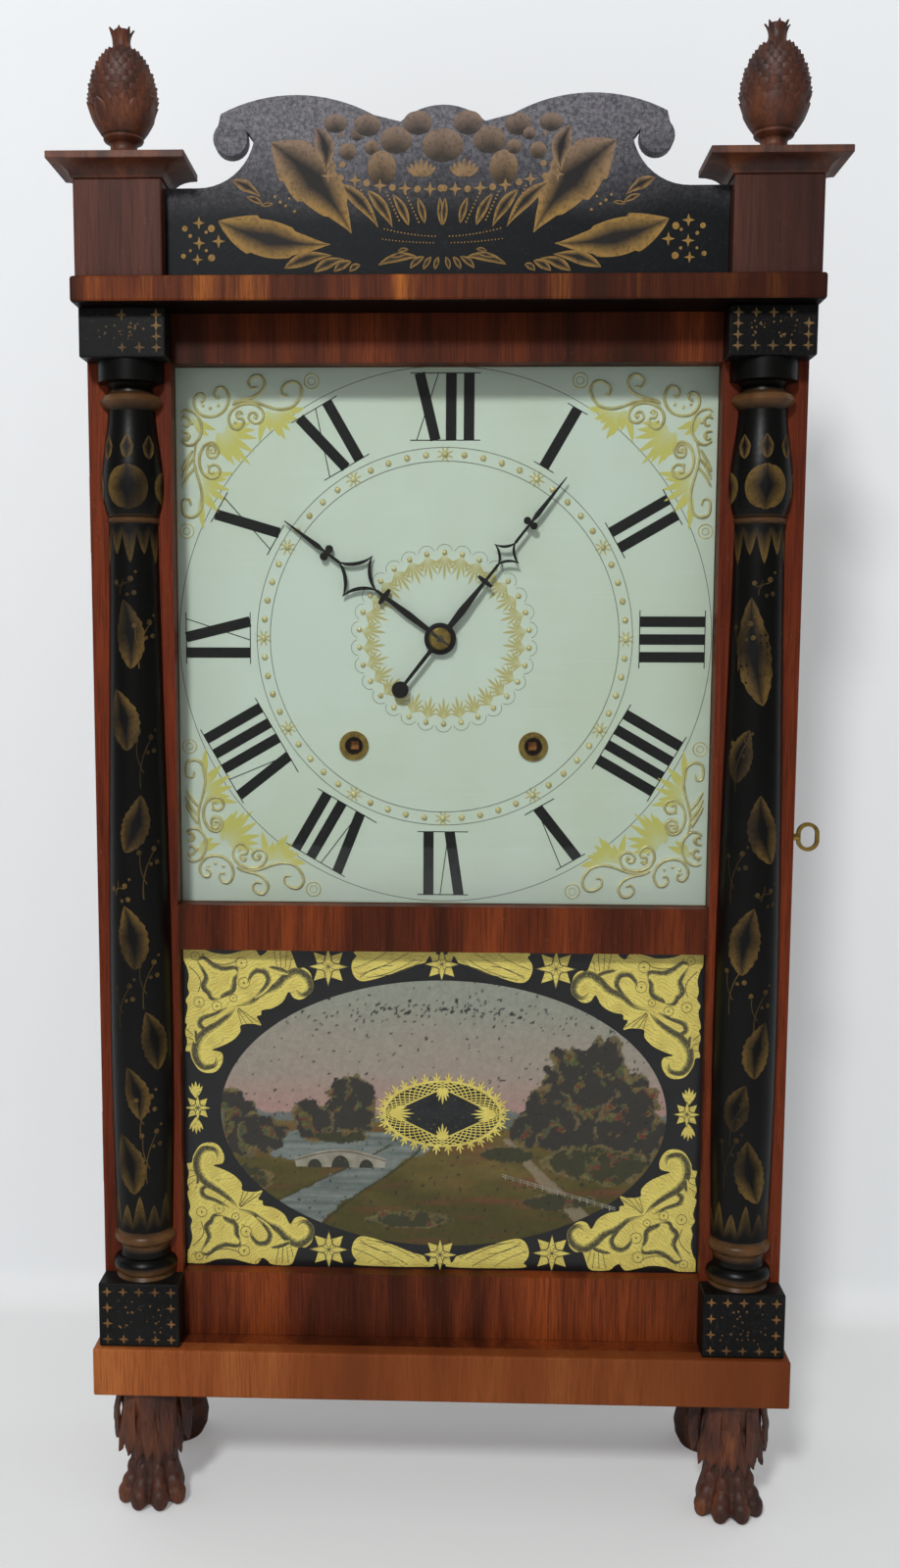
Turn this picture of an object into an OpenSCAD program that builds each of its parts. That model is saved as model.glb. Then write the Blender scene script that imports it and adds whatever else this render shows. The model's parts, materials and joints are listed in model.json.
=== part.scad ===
// Column and splat shelf clock: a carved case on four feet, a full-width door with half
// columns, a painted dial and a wooden weight-driven movement behind it.
// Millimetres. X runs to the right, Y to the back and Z up; the floor is Z = 0.

/* [Case] */
// Width of the case and of its door
case_w = 415; // [400:1:430]
// Depth from the front of the door to the back of the case
case_depth = 103.5; // [102:0.5:112]
// Thickness of the case sides
side_t = 12; // [10:0.5:14]
// Thickness of the backboard
back_t = 8; // [6:0.5:8]
// How far the plinth stands out past the case on each side
plinth_overhang = 3.5; // [2.5:0.5:5]
// How far the cornice stands out past the case on each side
cornice_overhang = 2; // [1:0.5:4]
// Gap between the door and what it closes on
door_gap = 0.3; // [0.2:0.05:0.5]

/* [Heights] */
// Height of the feet
foot_h = 77.6; // [60:0.2:90]
// Height of the plinth
plinth_h = 29.8; // [24:0.1:34]
// Thickness of the cornice board
cornice_h = 14.3; // [11:0.1:17]
// Height of the blocks that carry the finials
finial_block_h = 53; // [46:0.1:58]
// Height of the moulded caps on those blocks
cap_h = 11.2; // [9:0.1:14]
// Height of the finials
finial_h = 71.2; // [64:0.1:78]

/* [Door] */
// Thickness of the door frame
door_t = 19; // [18:0.5:20]
// Width of the door stiles
stile_w = 48.5; // [47:0.5:52]
// Height of the bottom rail
bottom_rail_h = 40; // [36:0.5:46]
// Height of the opening for the tablet
tablet_h = 203; // [190:0.5:212]
// Height of the middle rail
mid_rail_h = 27.6; // [24:0.1:32]
// Height of the opening for the dial
dial_open_h = 317.5; // [312:0.5:324]
// Height of the top rail
top_rail_h = 27.8; // [26:0.1:33]
// Width of the rebate that holds the glass
rebate_w = 5; // [4:0.5:6]
// Thickness of the glass
glass_t = 2; // [1.5:0.1:2.5]

/* [Columns] */
// Radius of the shaft at its foot
shaft_foot_r = 17.2; // [15:0.1:18]
// Radius of the shaft where it is widest
shaft_belly_r = 19.2; // [17:0.1:20]
// Radius of the shaft above the middle
shaft_upper_r = 17.7; // [16:0.1:19]
// Radius of the shaft at its neck
shaft_neck_r = 14.5; // [13:0.1:16]
// How far the column axis lies behind the face of the stile
column_set_back = 1.5; // [0:0.1:3]
// Depth of the blocks above and below the columns
column_block_d = 19; // [16:0.5:20]

/* [Top] */
// How far the finial blocks stand forward of the door
finial_block_reach = 25.5; // [24:0.5:30]
// Depth of the finial blocks
finial_block_d = 32; // [28:0.5:40]
// Width of the finial blocks
finial_block_w = 49.5; // [46:0.5:54]
// How far the caps stand out past the blocks, in front and on the outside
cap_overhang = 12; // [9:0.5:13]
// How far the caps stand out past the blocks on the inside
cap_inner_overhang = 15; // [10:0.5:17]
// How far the cornice stands forward of the door
cornice_reach = 30; // [28:0.5:34]
// How far the plinth stands forward of the door
plinth_reach = 22.5; // [21:0.5:26]
// Thickness of the splat
splat_t = 9; // [7:0.5:12]
// How far the splat stands forward of the door
splat_reach = 14; // [10:0.5:18]
// Distance of the middle of the splat's outline to the left of the middle of the case
splat_shift = 2; // [0:0.1:3]

/* [Dial] */
// Depth from the door face to the front of the dial
dial_depth = 26; // [25:0.5:27]
// Thickness of the dial board
dial_t = 8; // [6:0.5:9]
// Height of the dial centre above the bottom of its opening
dial_rise = 159.7; // [156:0.1:163]
// Distance of the hands' axis to the left of the middle
hand_offset = 2.3; // [0:0.1:4]
// Half the distance between the two winding squares
winding_half = 54.5; // [52:0.5:57]
// Drop from the hands' axis to the winding squares
winding_drop = 65; // [63:0.5:69]
// Length of the minute hand
minute_hand_l = 120.7; // [105:0.1:130]
// Length of the hour hand
hour_hand_l = 116.8; // [100:0.1:125]
// Angle of the minute hand at rest, clockwise from twelve
minute_hand_angle = 38; // [0:1:359]
// Angle of the hour hand at rest, clockwise from twelve
hour_hand_angle = 306.7; // [0:0.1:359]

/* [Movement] */
// Thickness of the wooden plates
plate_t = 5; // [4:0.5:6]
// Gap between the plates
plate_gap = 28; // [27:0.5:30]
// Gap between the great wheels and the posts of the movement
post_gap = 2.4; // [2:0.1:6]
// Radius of the winding drums
drum_r = 16; // [14:0.5:17]
// Gap between the weights and the backboard
weight_gap = 5.5; // [4:0.5:8]
// Gap between the bell and the backboard
bell_gap = 3.5; // [2.5:0.5:6]
// Height of the weights
weight_h = 120; // [100:1:130]
// Radius of the pulley groove
pulley_r = 13; // [11:0.5:14]
// Diameter of the weight cords
cord_d = 2; // [1.6:0.1:2.4]
// Thickness of the wooden wheels
wheel_t = 3; // [2.5:0.1:3]
// Size of a tooth in the train from the centre to the escape wheel
fine_tooth = 1.5; // [1.4:0.05:1.6]
// Radial clearance of pivots and pins in their holes
running_fit = 0.05; // [0.03:0.01:0.1]
// Depth of the pendulum rod behind the door face
rod_depth = 36.2; // [36:0.1:36.4]
// Radius of the pendulum bob
bob_r = 24; // [18:0.5:28]

/* [Hidden] */
$fn = 48;

// Depths are counted from the face of the door stiles, and the whole clock is centred on Y = 0.
cap_reach = finial_block_reach + cap_overhang;
stile_face = (cap_reach - case_depth) / 2;
function back(depth) = stile_face + depth;

// Half widths.
case_half = case_w / 2;
plinth_half = case_half + plinth_overhang;
cornice_half = case_half + cornice_overhang;
inner_half = case_half - side_t;
opening_half = case_half - stile_w;
column_x = case_half - stile_w / 2 - 1.2;

// Heights of the main joints, from the floor up.
floor_z = foot_h + plinth_h;
door_z = floor_z + door_gap;
tablet_z = door_z + bottom_rail_h;
mid_rail_z = tablet_z + tablet_h;
dial_open_z = mid_rail_z + mid_rail_h;
top_rail_z = dial_open_z + dial_open_h;
door_top_z = top_rail_z + top_rail_h;
cornice_z = door_top_z + door_gap;
block_z = cornice_z + cornice_h;
cap_z = block_z + finial_block_h;
finial_z = cap_z + cap_h;

// Depths of the planes inside the case.
case_front_depth = door_t + door_gap;
back_front_depth = case_depth - back_t;
dial_back_depth = dial_depth + dial_t;
front_plate_depth = dial_back_depth + 12;
train_depth = front_plate_depth + plate_t;
back_plate_depth = train_depth + plate_gap;
cord_depth = train_depth + 17;
weight_r = back_front_depth - cord_depth - weight_gap;
bell_r = back_front_depth - cord_depth - bell_gap;

// Levels of the wheels behind the front plate, one behind the other.
great_level = train_depth + 1;
ratchet_level = great_level + wheel_t + 0.2;
ratchet_t = 1.8;
second_level = ratchet_level + ratchet_t + 0.4;
drum_level = second_level + wheel_t + 0.4;
centre_level = train_depth + 13;
escape_level = train_depth + 8;
pinion_spare = 0.5;
solid = 0;

// Feet and finials, as distances of their middles from the outside of the case.
foot_inset = 28.5;
finial_inset = 27.1;
finial_axis_depth = -16;
plinth_board_t = 12;
case_floor_t = 8;

// The glass lies in a rebate behind the face of the door.
rebate_depth = 10;

// The dial board is wider and higher than its opening, and stands between two cross rails.
dial_margin = 16;
dial_lap = 10;
dial_rail_h = 12;

// Joint between the door and the case: the pin stands just outside the left back edge.
hinge_pin_r = 1.2;
hinge_barrel_r = 2.3;
hinge_x = -case_half - hinge_barrel_r - door_gap;
hinge_depth = door_t + door_gap / 2;
hinge_h = 45;
hinge_leaf_t = 1;
hinge_leaf_w = 10;
hinge_places = [door_z + 90, door_top_z - 90 - hinge_h];

// Lock in the right side, opened by a key from outside.
key_z = 419;
key_depth = door_t + 7;
key_shank_r = 2.2;
bolt_x = inner_half - 6;
bolt_t = 3.6;
bolt_h = 8;
bolt_rise = 3;
bit_h = 4.9;
bolt_throw = 5;

// Places of the arbors, each as [x, z].
centre = [-hand_offset, dial_open_z + dial_rise];
time_barrel = [winding_half, centre.y - winding_drop];
strike_barrel = [-winding_half, centre.y - winding_drop];

// Tooth counts, and the tooth size of the great wheels, which spans the distance to the centre.
great_teeth = 36;
pinion_leaves = 8;
great_tooth = 1.01 * norm(time_barrel - centre) / (great_teeth + pinion_leaves);
great_reach = great_tooth * (great_teeth + pinion_leaves) / 2;
great_tip_r = great_tooth * (great_teeth / 2 + 0.75);
time_second = crossing(time_barrel, great_reach, centre, great_reach, 1);
escape_teeth = 24;
centre_teeth = 40;
fine_reach = fine_tooth * (centre_teeth + pinion_leaves) / 2;
escape_x = -16.3;
escape_at = [escape_x, centre.y + sqrt(pow(fine_reach, 2) - pow(escape_x - centre.x, 2))];
escape_r = 20;
verge_at = [escape_x, escape_at.y + 28];
pin_wheel_at = strike_barrel + great_reach * [cos(97), sin(97)];
pin_wheel_teeth = 36;
fly_reach = fine_tooth * (pin_wheel_teeth + pinion_leaves) / 2;
fly_at = pin_wheel_at + fly_reach * [cos(80), sin(80)];
hammer_at = [-30, centre.y + 72];

// Motion work: cannon 12, minute wheel 36 with a pinion of 10, hour wheel 40.
motion_reach = 24;
minute_wheel_at = centre + motion_reach * [cos(-45), sin(-45)];
cannon_leaves = 12;
minute_teeth = 36;
minute_leaves = 10;
hour_teeth = 40;
cannon_tooth = 2 * motion_reach / (cannon_leaves + minute_teeth);
hour_tooth = 2 * motion_reach / (minute_leaves + hour_teeth);

// Pipes of the motion work, and the pendulum hung from the stud above the verge.
cannon_r = 4;
hour_pipe_r = 5.3;
stud_z = verge_at.y + 12;
bob_z = tablet_z + 100;
bob_half_t = 4.6;
rod_r = 0.9;

// The posts stand just clear of the great wheels, with the plates between them.
plate_end_gap = 6;
post_inner = winding_half + great_tip_r + post_gap;
plate_half = post_inner - plate_end_gap;

// The plates reach past the arbors.
plate_low = time_barrel.y - 44;
plate_high = verge_at.y + 22;
pivot_r = 1.5;
arbor_r = 2.5;
barrel_arbor_r = 4;
ratchet_r = 12;
train_arbors = [time_second, centre, escape_at, verge_at, pin_wheel_at, fly_at, hammer_at];
barrel_arbors = [time_barrel, strike_barrel];
pillar_r = 5;
pillar_places = [
    for (sx = [-1, 1]) for (p = [[plate_half - 9, plate_low + 8], [plate_half - 16, plate_high - 8]])
        [sx * p.x, p.y]
];

// The bell stands above the plates, with the head of the hammer a gap away from its side.
bell_x = 5;
bell_top = plate_high + 50;
hammer_gap = 3.6;
hammer_head_l = 7.2;
hammer_head = [bell_x - bell_r - hammer_gap - hammer_head_l, plate_high + 31];

// Weights hang outside the posts, from pulleys under the cornice.
post_t = 8;
post_top = centre.y + 24;
pulley_x = 130;
pulley_z = cornice_z - 23.9;
cord_r = cord_d / 2;
cord_gap = 0.1;
wrap_r = pulley_r + cord_r + cord_gap;
weight_x = pulley_x + wrap_r;
weight_z = floor_z + 5;
weight_hook_h = 14;
fall_low = weight_z + weight_h + weight_hook_h;
drum_wrap_r = drum_r + cord_r + cord_gap;

// Crossing of two circles; side picks the crossing to the left (1) or right (-1) of a to b.
function crossing(a, ra, b, rb, side) =
    let (d = norm(b - a), u = (b - a) / d, along = (ra * ra - rb * rb + d * d) / (2 * d))
    a + along * u + side * sqrt(ra * ra - along * along) * [-u.y, u.x];

// Direction from one arbor to the next, as an angle in the XZ plane.
function toward(a, b) = atan2(b.y - a.y, b.x - a.x);

// Points along an arc, from one angle to the other.
function arc(c, r, a0, a1, n) =
    [for (i = [0:n]) let (a = a0 + (a1 - a0) * i / n) c + r * [cos(a), sin(a)]];

// Smooth curve through four values at given places between 0 and 1.
function through(t, at, v) =
    v[0] * (t - at[1]) * (t - at[2]) * (t - at[3])
        / ((at[0] - at[1]) * (at[0] - at[2]) * (at[0] - at[3]))
    + v[1] * (t - at[0]) * (t - at[2]) * (t - at[3])
        / ((at[1] - at[0]) * (at[1] - at[2]) * (at[1] - at[3]))
    + v[2] * (t - at[0]) * (t - at[1]) * (t - at[3])
        / ((at[2] - at[0]) * (at[2] - at[1]) * (at[2] - at[3]))
    + v[3] * (t - at[0]) * (t - at[1]) * (t - at[2])
        / ((at[3] - at[0]) * (at[3] - at[1]) * (at[3] - at[2]));

// A board between two corners.
module board(low, high) {
    translate(low) cube(high - low);
}

// A board given by half width, by depths behind the door face and by heights.
module wide_board(half, d0, d1, z0, z1) {
    board([-half, back(d0), z0], [half, back(d1), z1]);
}

// The same piece on the left and on the right.
module both_sides() {
    for (sx = [0, 1]) mirror([sx, 0, 0]) children();
}

// A flat shape drawn in X and Z, standing at an arbor, thick in Y from depth d.
module at_arbor(p, d, thick) {
    translate([p.x, back(d + thick), p.y]) rotate([90, 0, 0]) linear_extrude(thick) children();
}

// A round rod along Y at an arbor, between two depths.
module rod(p, r, d0, d1) {
    translate([p.x, back(d1), p.y]) rotate([90, 0, 0]) cylinder(r = r, h = d1 - d0);
}

// Outline of a wheel with straight-sided teeth, a tooth at the angle first; solid means no bore.
module toothed(teeth, size, first, bore) {
    pitch_r = teeth * size / 2;
    step = 360 / teeth;
    tip_r = pitch_r + 0.75 * size;
    root_r = pitch_r - 0.95 * size;
    difference() {
        polygon([
            for (i = [0:teeth - 1])
                for (k = [[-0.2, root_r], [-0.09, tip_r], [0.09, tip_r], [0.2, root_r]])
                    k[1] * [cos(first + (i + k[0]) * step), sin(first + (i + k[0]) * step)]
        ]);
        if (bore > solid) circle(r = bore);
    }
}

// An arbor with a thick middle between the plates and pivots through them.
module arbor(p) {
    rod(p, arbor_r, train_depth + 0.4, back_plate_depth - 0.4);
    rod(p, pivot_r, front_plate_depth + 0.5, back_plate_depth + plate_t - 0.5);
}

// Case

module front_feet() {
    paw_r = 24.1;
    ankle_z = 30;
    color("#5a2f1c") both_sides() translate([case_half - foot_inset, back(2), 0]) {
        rotate_extrude() polygon([
            [0, 0], [paw_r - 2.6, 0], [paw_r - 0.6, 4], [paw_r - 1.6, 12], [19.6, 20],
            [17.4, 26], [16.9, ankle_z], [17.4, 38], [18.6, 48], [20.6, 60],
            [22.2, 70], [22.75, foot_h], [0, foot_h]
        ]);
        for (a = [-60, -20, 20, 60]) rotate([0, 0, a]) {
            translate([0, -19.5, 7.5]) sphere(r = 7.2);
            translate([0, -19.5, 7.5]) rotate([-35, 0, 0]) cylinder(r1 = 7, r2 = 4.6, h = 17);
            translate([0, -19.5, 0]) cylinder(r = 5, h = 4);
        }
    }
}

module back_feet() {
    color("#4a2a1a") both_sides()
        translate([case_half - foot_inset, back(case_depth - 25), 0]) rotate_extrude() polygon([
            [0, 0], [17, 0], [20, 6], [21, 14], [19, 24], [14, 30], [13, 36],
            [16, 46], [19.5, 58], [21, 68], [21, foot_h], [0, foot_h]
        ]);
}

module plinth() {
    color("#7a4022") {
        wide_board(plinth_half, -plinth_reach, plinth_board_t - plinth_reach, foot_h, floor_z);
        both_sides() board(
            [plinth_half - plinth_board_t, back(plinth_board_t - plinth_reach), foot_h],
            [plinth_half, back(case_depth), floor_z]
        );
    }
}

module case_floor() {
    color("#8a6238") wide_board(
        plinth_half - plinth_board_t, plinth_board_t - plinth_reach, case_depth,
        floor_z - case_floor_t, floor_z
    );
}

module glue_blocks() {
    color("#a37a48") {
        both_sides() for (d = [8, case_depth - 40]) board(
            [plinth_half - plinth_board_t - 11, back(d), foot_h + 4],
            [plinth_half - plinth_board_t, back(d + 34), floor_z - case_floor_t]
        );
        both_sides() board(
            [50, back(splat_t - splat_reach), block_z],
            [74, back(splat_t - splat_reach + 14), block_z + 14]
        );
    }
}

// A case side, from the plinth to the cornice; the mirrored one carries no lock.
module case_side() {
    board(
        [inner_half, back(case_front_depth), floor_z],
        [case_half, back(case_depth), cornice_z]
    );
}

module side_left() {
    color("#5b2417") difference() {
        mirror([1, 0, 0]) case_side();
        for (z = hinge_places) board(
            [-case_half - 1, back(case_front_depth) - 1, z - 0.2],
            [-case_half + hinge_leaf_w, back(case_front_depth + hinge_leaf_t), z + hinge_h + 0.2]
        );
    }
}

module side_right() {
    color("#5b2417") difference() {
        case_side();
        translate([inner_half - 1, back(key_depth), key_z])
            rotate([0, 90, 0]) cylinder(r = key_shank_r + running_fit, h = side_t + 2);
        board(
            [inner_half - 1, back(key_depth) - 1, key_z - 7.5],
            [case_half + 1, back(key_depth) + 1, key_z - key_shank_r + 0.3]
        );
    }
}

module backboard() {
    color("#9c7444") wide_board(inner_half, back_front_depth, case_depth, floor_z, cornice_z);
}

module paper_label() {
    label_half = 0.37 * inner_half;
    label_t = 0.3;
    label_low = floor_z + 34;
    label_h = 180;
    color("#cdbb93") wide_board(
        label_half, back_front_depth - label_t, back_front_depth, label_low, label_low + label_h
    );
}

module cornice_board() {
    color("#8f4a24") wide_board(cornice_half, -cornice_reach, case_depth, cornice_z, block_z);
}

module finial_blocks() {
    color("#4d2620") both_sides() board(
        [case_half - finial_block_w, back(-finial_block_reach), block_z],
        [case_half, back(finial_block_d - finial_block_reach), cap_z]
    );
}

// Outline of the moulded cap: a band on top of a hollow, from the face of the block outwards.
function cap_edge(inner, outer) =
    let (r = cap_h - 4.6, out = outer - inner)
    concat(
        [[0, finial_z], [outer, finial_z], [outer, finial_z - 4]],
        [for (a = [0:15:90]) [outer - 0.8 - (out - 2) * sin(a), finial_z - 4 - r * (1 - cos(a))]],
        [[inner + 0.6, cap_z], [0, cap_z]]
    );

module block_caps() {
    middle_x = case_half - finial_block_w / 2;
    front_half = finial_block_w / 2;
    cap_back = finial_block_d - finial_block_reach;
    run = finial_block_d + cap_overhang;
    color("#6b3322") both_sides() intersection() {
        translate([middle_x, back(cap_back), 0]) rotate([90, 0, 0]) linear_extrude(run) {
            polygon(cap_edge(front_half, front_half + cap_overhang));
            mirror([1, 0]) polygon(cap_edge(front_half, front_half + cap_inner_overhang));
        }
        translate([middle_x - front_half - cap_inner_overhang, back(cap_back), 0])
            rotate([90, 0, -90]) mirror([0, 0, 1])
                linear_extrude(finial_block_w + cap_inner_overhang + cap_overhang)
                    polygon(cap_edge(finial_block_d, run));
    }
}

module finials() {
    rows = 7;
    row_z = finial_z + 29;
    row_h = (finial_h - 42) / rows;
    leaves = 12;
    color("#5a2c1b") both_sides()
        translate([case_half - finial_inset, back(finial_axis_depth), 0]) {
            rotate_extrude() polygon(concat(
                [
                    [0, finial_z], [11, finial_z], [11, finial_z + 4.6], [7.6, finial_z + 7],
                    [7.5, finial_z + 10], [10, finial_z + 12.4], [14, finial_z + 13.6],
                    [17.6, finial_z + 19], [18.6, finial_z + 25], [17.4, row_z]
                ],
                [
                    for (i = [0:rows - 1]) for (k = [[0.9, 0.1], [0, 0.75]])
                        let (t = (i + k[1]) / rows)
                        [17.2 * sqrt(1 - pow(0.93 * t, 2.2)) + k[0], row_z + row_h * (i + k[1])]
                ],
                [
                    [6, finial_z + finial_h - 13], [7.2, finial_z + finial_h - 9],
                    [6.6, finial_z + finial_h - 4], [4, finial_z + finial_h - 1],
                    [0, finial_z + finial_h]
                ]
            ));
            for (i = [0:leaves - 1]) rotate([0, 0, i * 360 / leaves])
                translate([17.6, 0, finial_z + 18]) rotate([90, 0, 90])
                    linear_extrude(2) polygon([[-4, 0], [4, 0], [3.6, 7], [0, 12.5], [-3.6, 7]]);
        }
}

// Outline of the right half of the splat, from the bottom middle to the top middle.
function splat_edge() =
    let (
        end_x = case_half - finial_block_w,
        shoulder_z = block_z + 50.8,
        ball = [118.8, block_z + 77.4],
        ball_r = 9.8,
        scoop = [137.3, block_z + 83.3],
        scoop_r = 32.5,
        crest = [82.5, block_z + 100.4],
        crest_r = 93.5,
        lobe_rise = 8.8,
        cusp = [23.6, block_z + 85.8],
        lobe_r = (pow(cusp.x, 2) + pow(lobe_rise, 2)) / (2 * lobe_rise)
    )
    concat(
        [[0, block_z], [end_x, block_z], [end_x, shoulder_z]],
        arc(scoop, scoop_r, 271, 193.3, 10),
        arc(ball, ball_r, 157, 405, 16),
        arc(crest - [0, crest_r], crest_r, 63.5, 118, 16),
        arc([0, cusp.y + lobe_rise - lobe_r], lobe_r, 90 - asin(cusp.x / lobe_r), 90, 6)
    );

// The splat fills the space between the finial blocks; between its ends the outline is shifted.
module splat() {
    edge = splat_edge();
    end_x = edge[1].x;
    color("#1a1613") translate([0, back(splat_t - splat_reach), 0]) rotate([90, 0, 0])
        linear_extrude(splat_t) polygon(concat(
            [for (p = edge) [p.x < end_x ? p.x - splat_shift : p.x, p.y]],
            [
                for (i = [len(edge) - 2:-1:1])
                    [edge[i].x < end_x ? -edge[i].x - splat_shift : -edge[i].x, edge[i].y]
            ]
        ));
}

// Inside of the case

module movement_posts() {
    color("#93683c") both_sides() board(
        [post_inner, back(front_plate_depth - 2), floor_z],
        [post_inner + post_t, back(back_front_depth), post_top]
    );
}

module dial_rails() {
    color("#8a6238") for (z = [dial_open_z - dial_lap - dial_rail_h, top_rail_z + dial_lap])
        wide_board(inner_half, dial_depth, dial_back_depth, z, z + dial_rail_h);
}

module dial_board() {
    color("#cfd2c0") difference() {
        wide_board(
            opening_half + dial_margin, dial_depth, dial_back_depth,
            dial_open_z - dial_lap + door_gap, top_rail_z + dial_lap - door_gap
        );
        rod(centre, 8, dial_depth - 1, dial_back_depth + 1);
        for (p = barrel_arbors) rod(p, 7.4, dial_depth - 1, dial_back_depth + 1);
    }
}

module dial_grommets() {
    color("#c8a04a") for (p = barrel_arbors) difference() {
        union() {
            rod(p, 8.9, dial_depth - 1.2, dial_depth);
            rod(p, 7.4, dial_depth, dial_back_depth);
        }
        rod(p, 5.5, dial_depth - 2, dial_back_depth + 1);
    }
}

// The button turns on its screw, up over the edge of the dial board.
module dial_button() {
    button_z = dial_open_z - dial_lap - dial_rail_h / 2;
    end_r = 5;
    reach = 6;
    color("#7a5230") at_arbor([0, button_z], dial_depth - 3.3, 3) {
        circle(r = end_r);
        translate([-end_r, 0]) square([2 * end_r, reach]);
        translate([0, reach]) circle(r = end_r);
    }
    color("#8a8478") rod([0, button_z], 2.6, dial_depth - 4.6, dial_depth - 3.3);
}

// Movement

// Everything that both plates are drilled for.
module plate_blank(d) {
    difference() {
        board([-plate_half, back(d), plate_low], [plate_half, back(d + plate_t), plate_high]);
        for (p = train_arbors) rod(p, pivot_r + running_fit, d - 1, d + plate_t + 1);
        for (p = barrel_arbors) rod(p, barrel_arbor_r + running_fit, d - 1, d + plate_t + 1);
    }
}

module front_plate() {
    stud_r = 3.4;
    color("#a9763f") difference() {
        union() {
            plate_blank(front_plate_depth);
            rod([verge_at.x, stud_z], stud_r, rod_depth - 1.6, front_plate_depth);
            rod(minute_wheel_at, pivot_r, front_plate_depth - 10, front_plate_depth);
        }
        board(
            [verge_at.x - 0.6, back(rod_depth - 2), stud_z - stud_r - 1],
            [verge_at.x + 0.6, back(rod_depth + 1.6), stud_z + 1]
        );
        rod(centre, arbor_r + running_fit, front_plate_depth - 1, train_depth + 1);
        rod(verge_at, 2 + running_fit, front_plate_depth - 1, train_depth + 1);
    }
}

module back_plate() {
    color("#a9763f") {
        plate_blank(back_plate_depth);
        for (p = pillar_places) rod(p, pillar_r, train_depth, back_plate_depth);
        both_sides() for (z = [plate_low + 8, post_top - 12])
            translate([plate_half, back(back_plate_depth + plate_t / 2), z])
                rotate([0, 90, 0]) cylinder(r = 1.6, h = post_inner - plate_half);
    }
}

module pulley_brackets() {
    color("#3c3a38") both_sides() {
        rod([pulley_x, pulley_z], pivot_r, cord_depth - 6, cord_depth + 6);
        for (d = [cord_depth - 6, cord_depth + 4.5]) board(
            [pulley_x - 5, back(d), pulley_z - 5], [pulley_x + 5, back(d + 1.5), cornice_z]
        );
        board(
            [pulley_x - 9, back(cord_depth - 9), cornice_z - 1.5],
            [pulley_x + 9, back(cord_depth + 9), cornice_z]
        );
    }
}

module bell() {
    wall = 2.4;
    stand_low = plate_high - 6;
    color("#4b4743") {
        translate([bell_x, back(cord_depth), 0]) rotate_extrude() polygon(concat(
            [[0, bell_top], [3, bell_top]],
            arc([0, bell_top - bell_r + 2], bell_r - 2, 82, 12, 8),
            [[bell_r, bell_top - bell_r], [bell_r - wall, bell_top - bell_r]],
            arc([0, bell_top - bell_r + 2], bell_r - 2 - wall, 12, 90, 8)
        ));
        translate([bell_x, back(cord_depth), stand_low])
            cylinder(r = 2.2, h = bell_top + 4 - stand_low);
        board(
            [bell_x - 5, back(cord_depth) - 2, stand_low],
            [bell_x + 5, back(back_plate_depth), stand_low + 5]
        );
    }
}

module time_drum() {
    barrel(time_barrel);
}

module strike_drum() {
    barrel(strike_barrel);
}

// Drum on its arbor, with flanges, a ratchet in front and a square for the winding crank.
module barrel(p) {
    flange_t = 1.5;
    square_set_back = 6;
    drum_back = back_plate_depth - 2;
    color("#a5733d") {
        rod(p, drum_r, drum_level, drum_back);
        rod(p, drum_r + 3, drum_level, drum_level + flange_t);
        rod(p, drum_r + 3, drum_back - flange_t, drum_back);
        at_arbor(p, ratchet_level, ratchet_t) polygon([
            for (i = [0:11]) for (k = [[0, ratchet_r], [24, ratchet_r - 2.6]])
                k[1] * [cos(i * 30 + k[0]), sin(i * 30 + k[0])]
        ]);
        rod(p, barrel_arbor_r + 2, ratchet_level, drum_level);
    }
    color("#55504a") {
        rod(p, barrel_arbor_r, front_plate_depth - 0.5, back_plate_depth + plate_t - 0.5);
        at_arbor(p, dial_depth + square_set_back, front_plate_depth - dial_depth - square_set_back - 0.5)
            square(5, center = true);
    }
}

// Great wheel, loose on the arbor of its drum, with the click that lets the drum be wound.
module great_wheel(p, next) {
    color("#b98a4e") at_arbor(p, great_level, wheel_t)
        toothed(great_teeth, great_tooth, toward(p, next), barrel_arbor_r + running_fit);
    color("#55504a") at_arbor(p + [ratchet_r + 3.6, 0], great_level + wheel_t, ratchet_t) {
        circle(r = 1.8);
        polygon([[-1.8, 0], [1.8, 0], [-0.4, 8], [-2.8, 9]]);
    }
}

module time_great_wheel() {
    great_wheel(time_barrel, time_second);
}

module strike_great_wheel() {
    great_wheel(strike_barrel, pin_wheel_at);
}

// Pinion that meshes with the wheel on the arbor before it, and is a little thicker.
module pinion(p, from, size, leaves, level) {
    at_arbor(p, level - pinion_spare, wheel_t + 2 * pinion_spare)
        toothed(leaves, size, toward(p, from) + 180 / leaves, solid);
}

module time_second_wheel() {
    color("#b98a4e") {
        pinion(time_second, time_barrel, great_tooth, pinion_leaves, great_level);
        at_arbor(time_second, second_level, wheel_t)
            toothed(great_teeth, great_tooth, toward(time_second, centre), solid);
    }
    color("#6d665c") arbor(time_second);
}

// The centre arbor reaches through the dial; the hands are held on it by friction.
module centre_wheel() {
    color("#b98a4e") {
        pinion(centre, time_second, great_tooth, pinion_leaves, second_level);
        at_arbor(centre, centre_level, wheel_t)
            toothed(centre_teeth, fine_tooth, toward(centre, escape_at), solid);
    }
    color("#6d665c") {
        arbor(centre);
        rod(centre, 2, dial_depth - 10.5, front_plate_depth + 1);
    }
}

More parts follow.
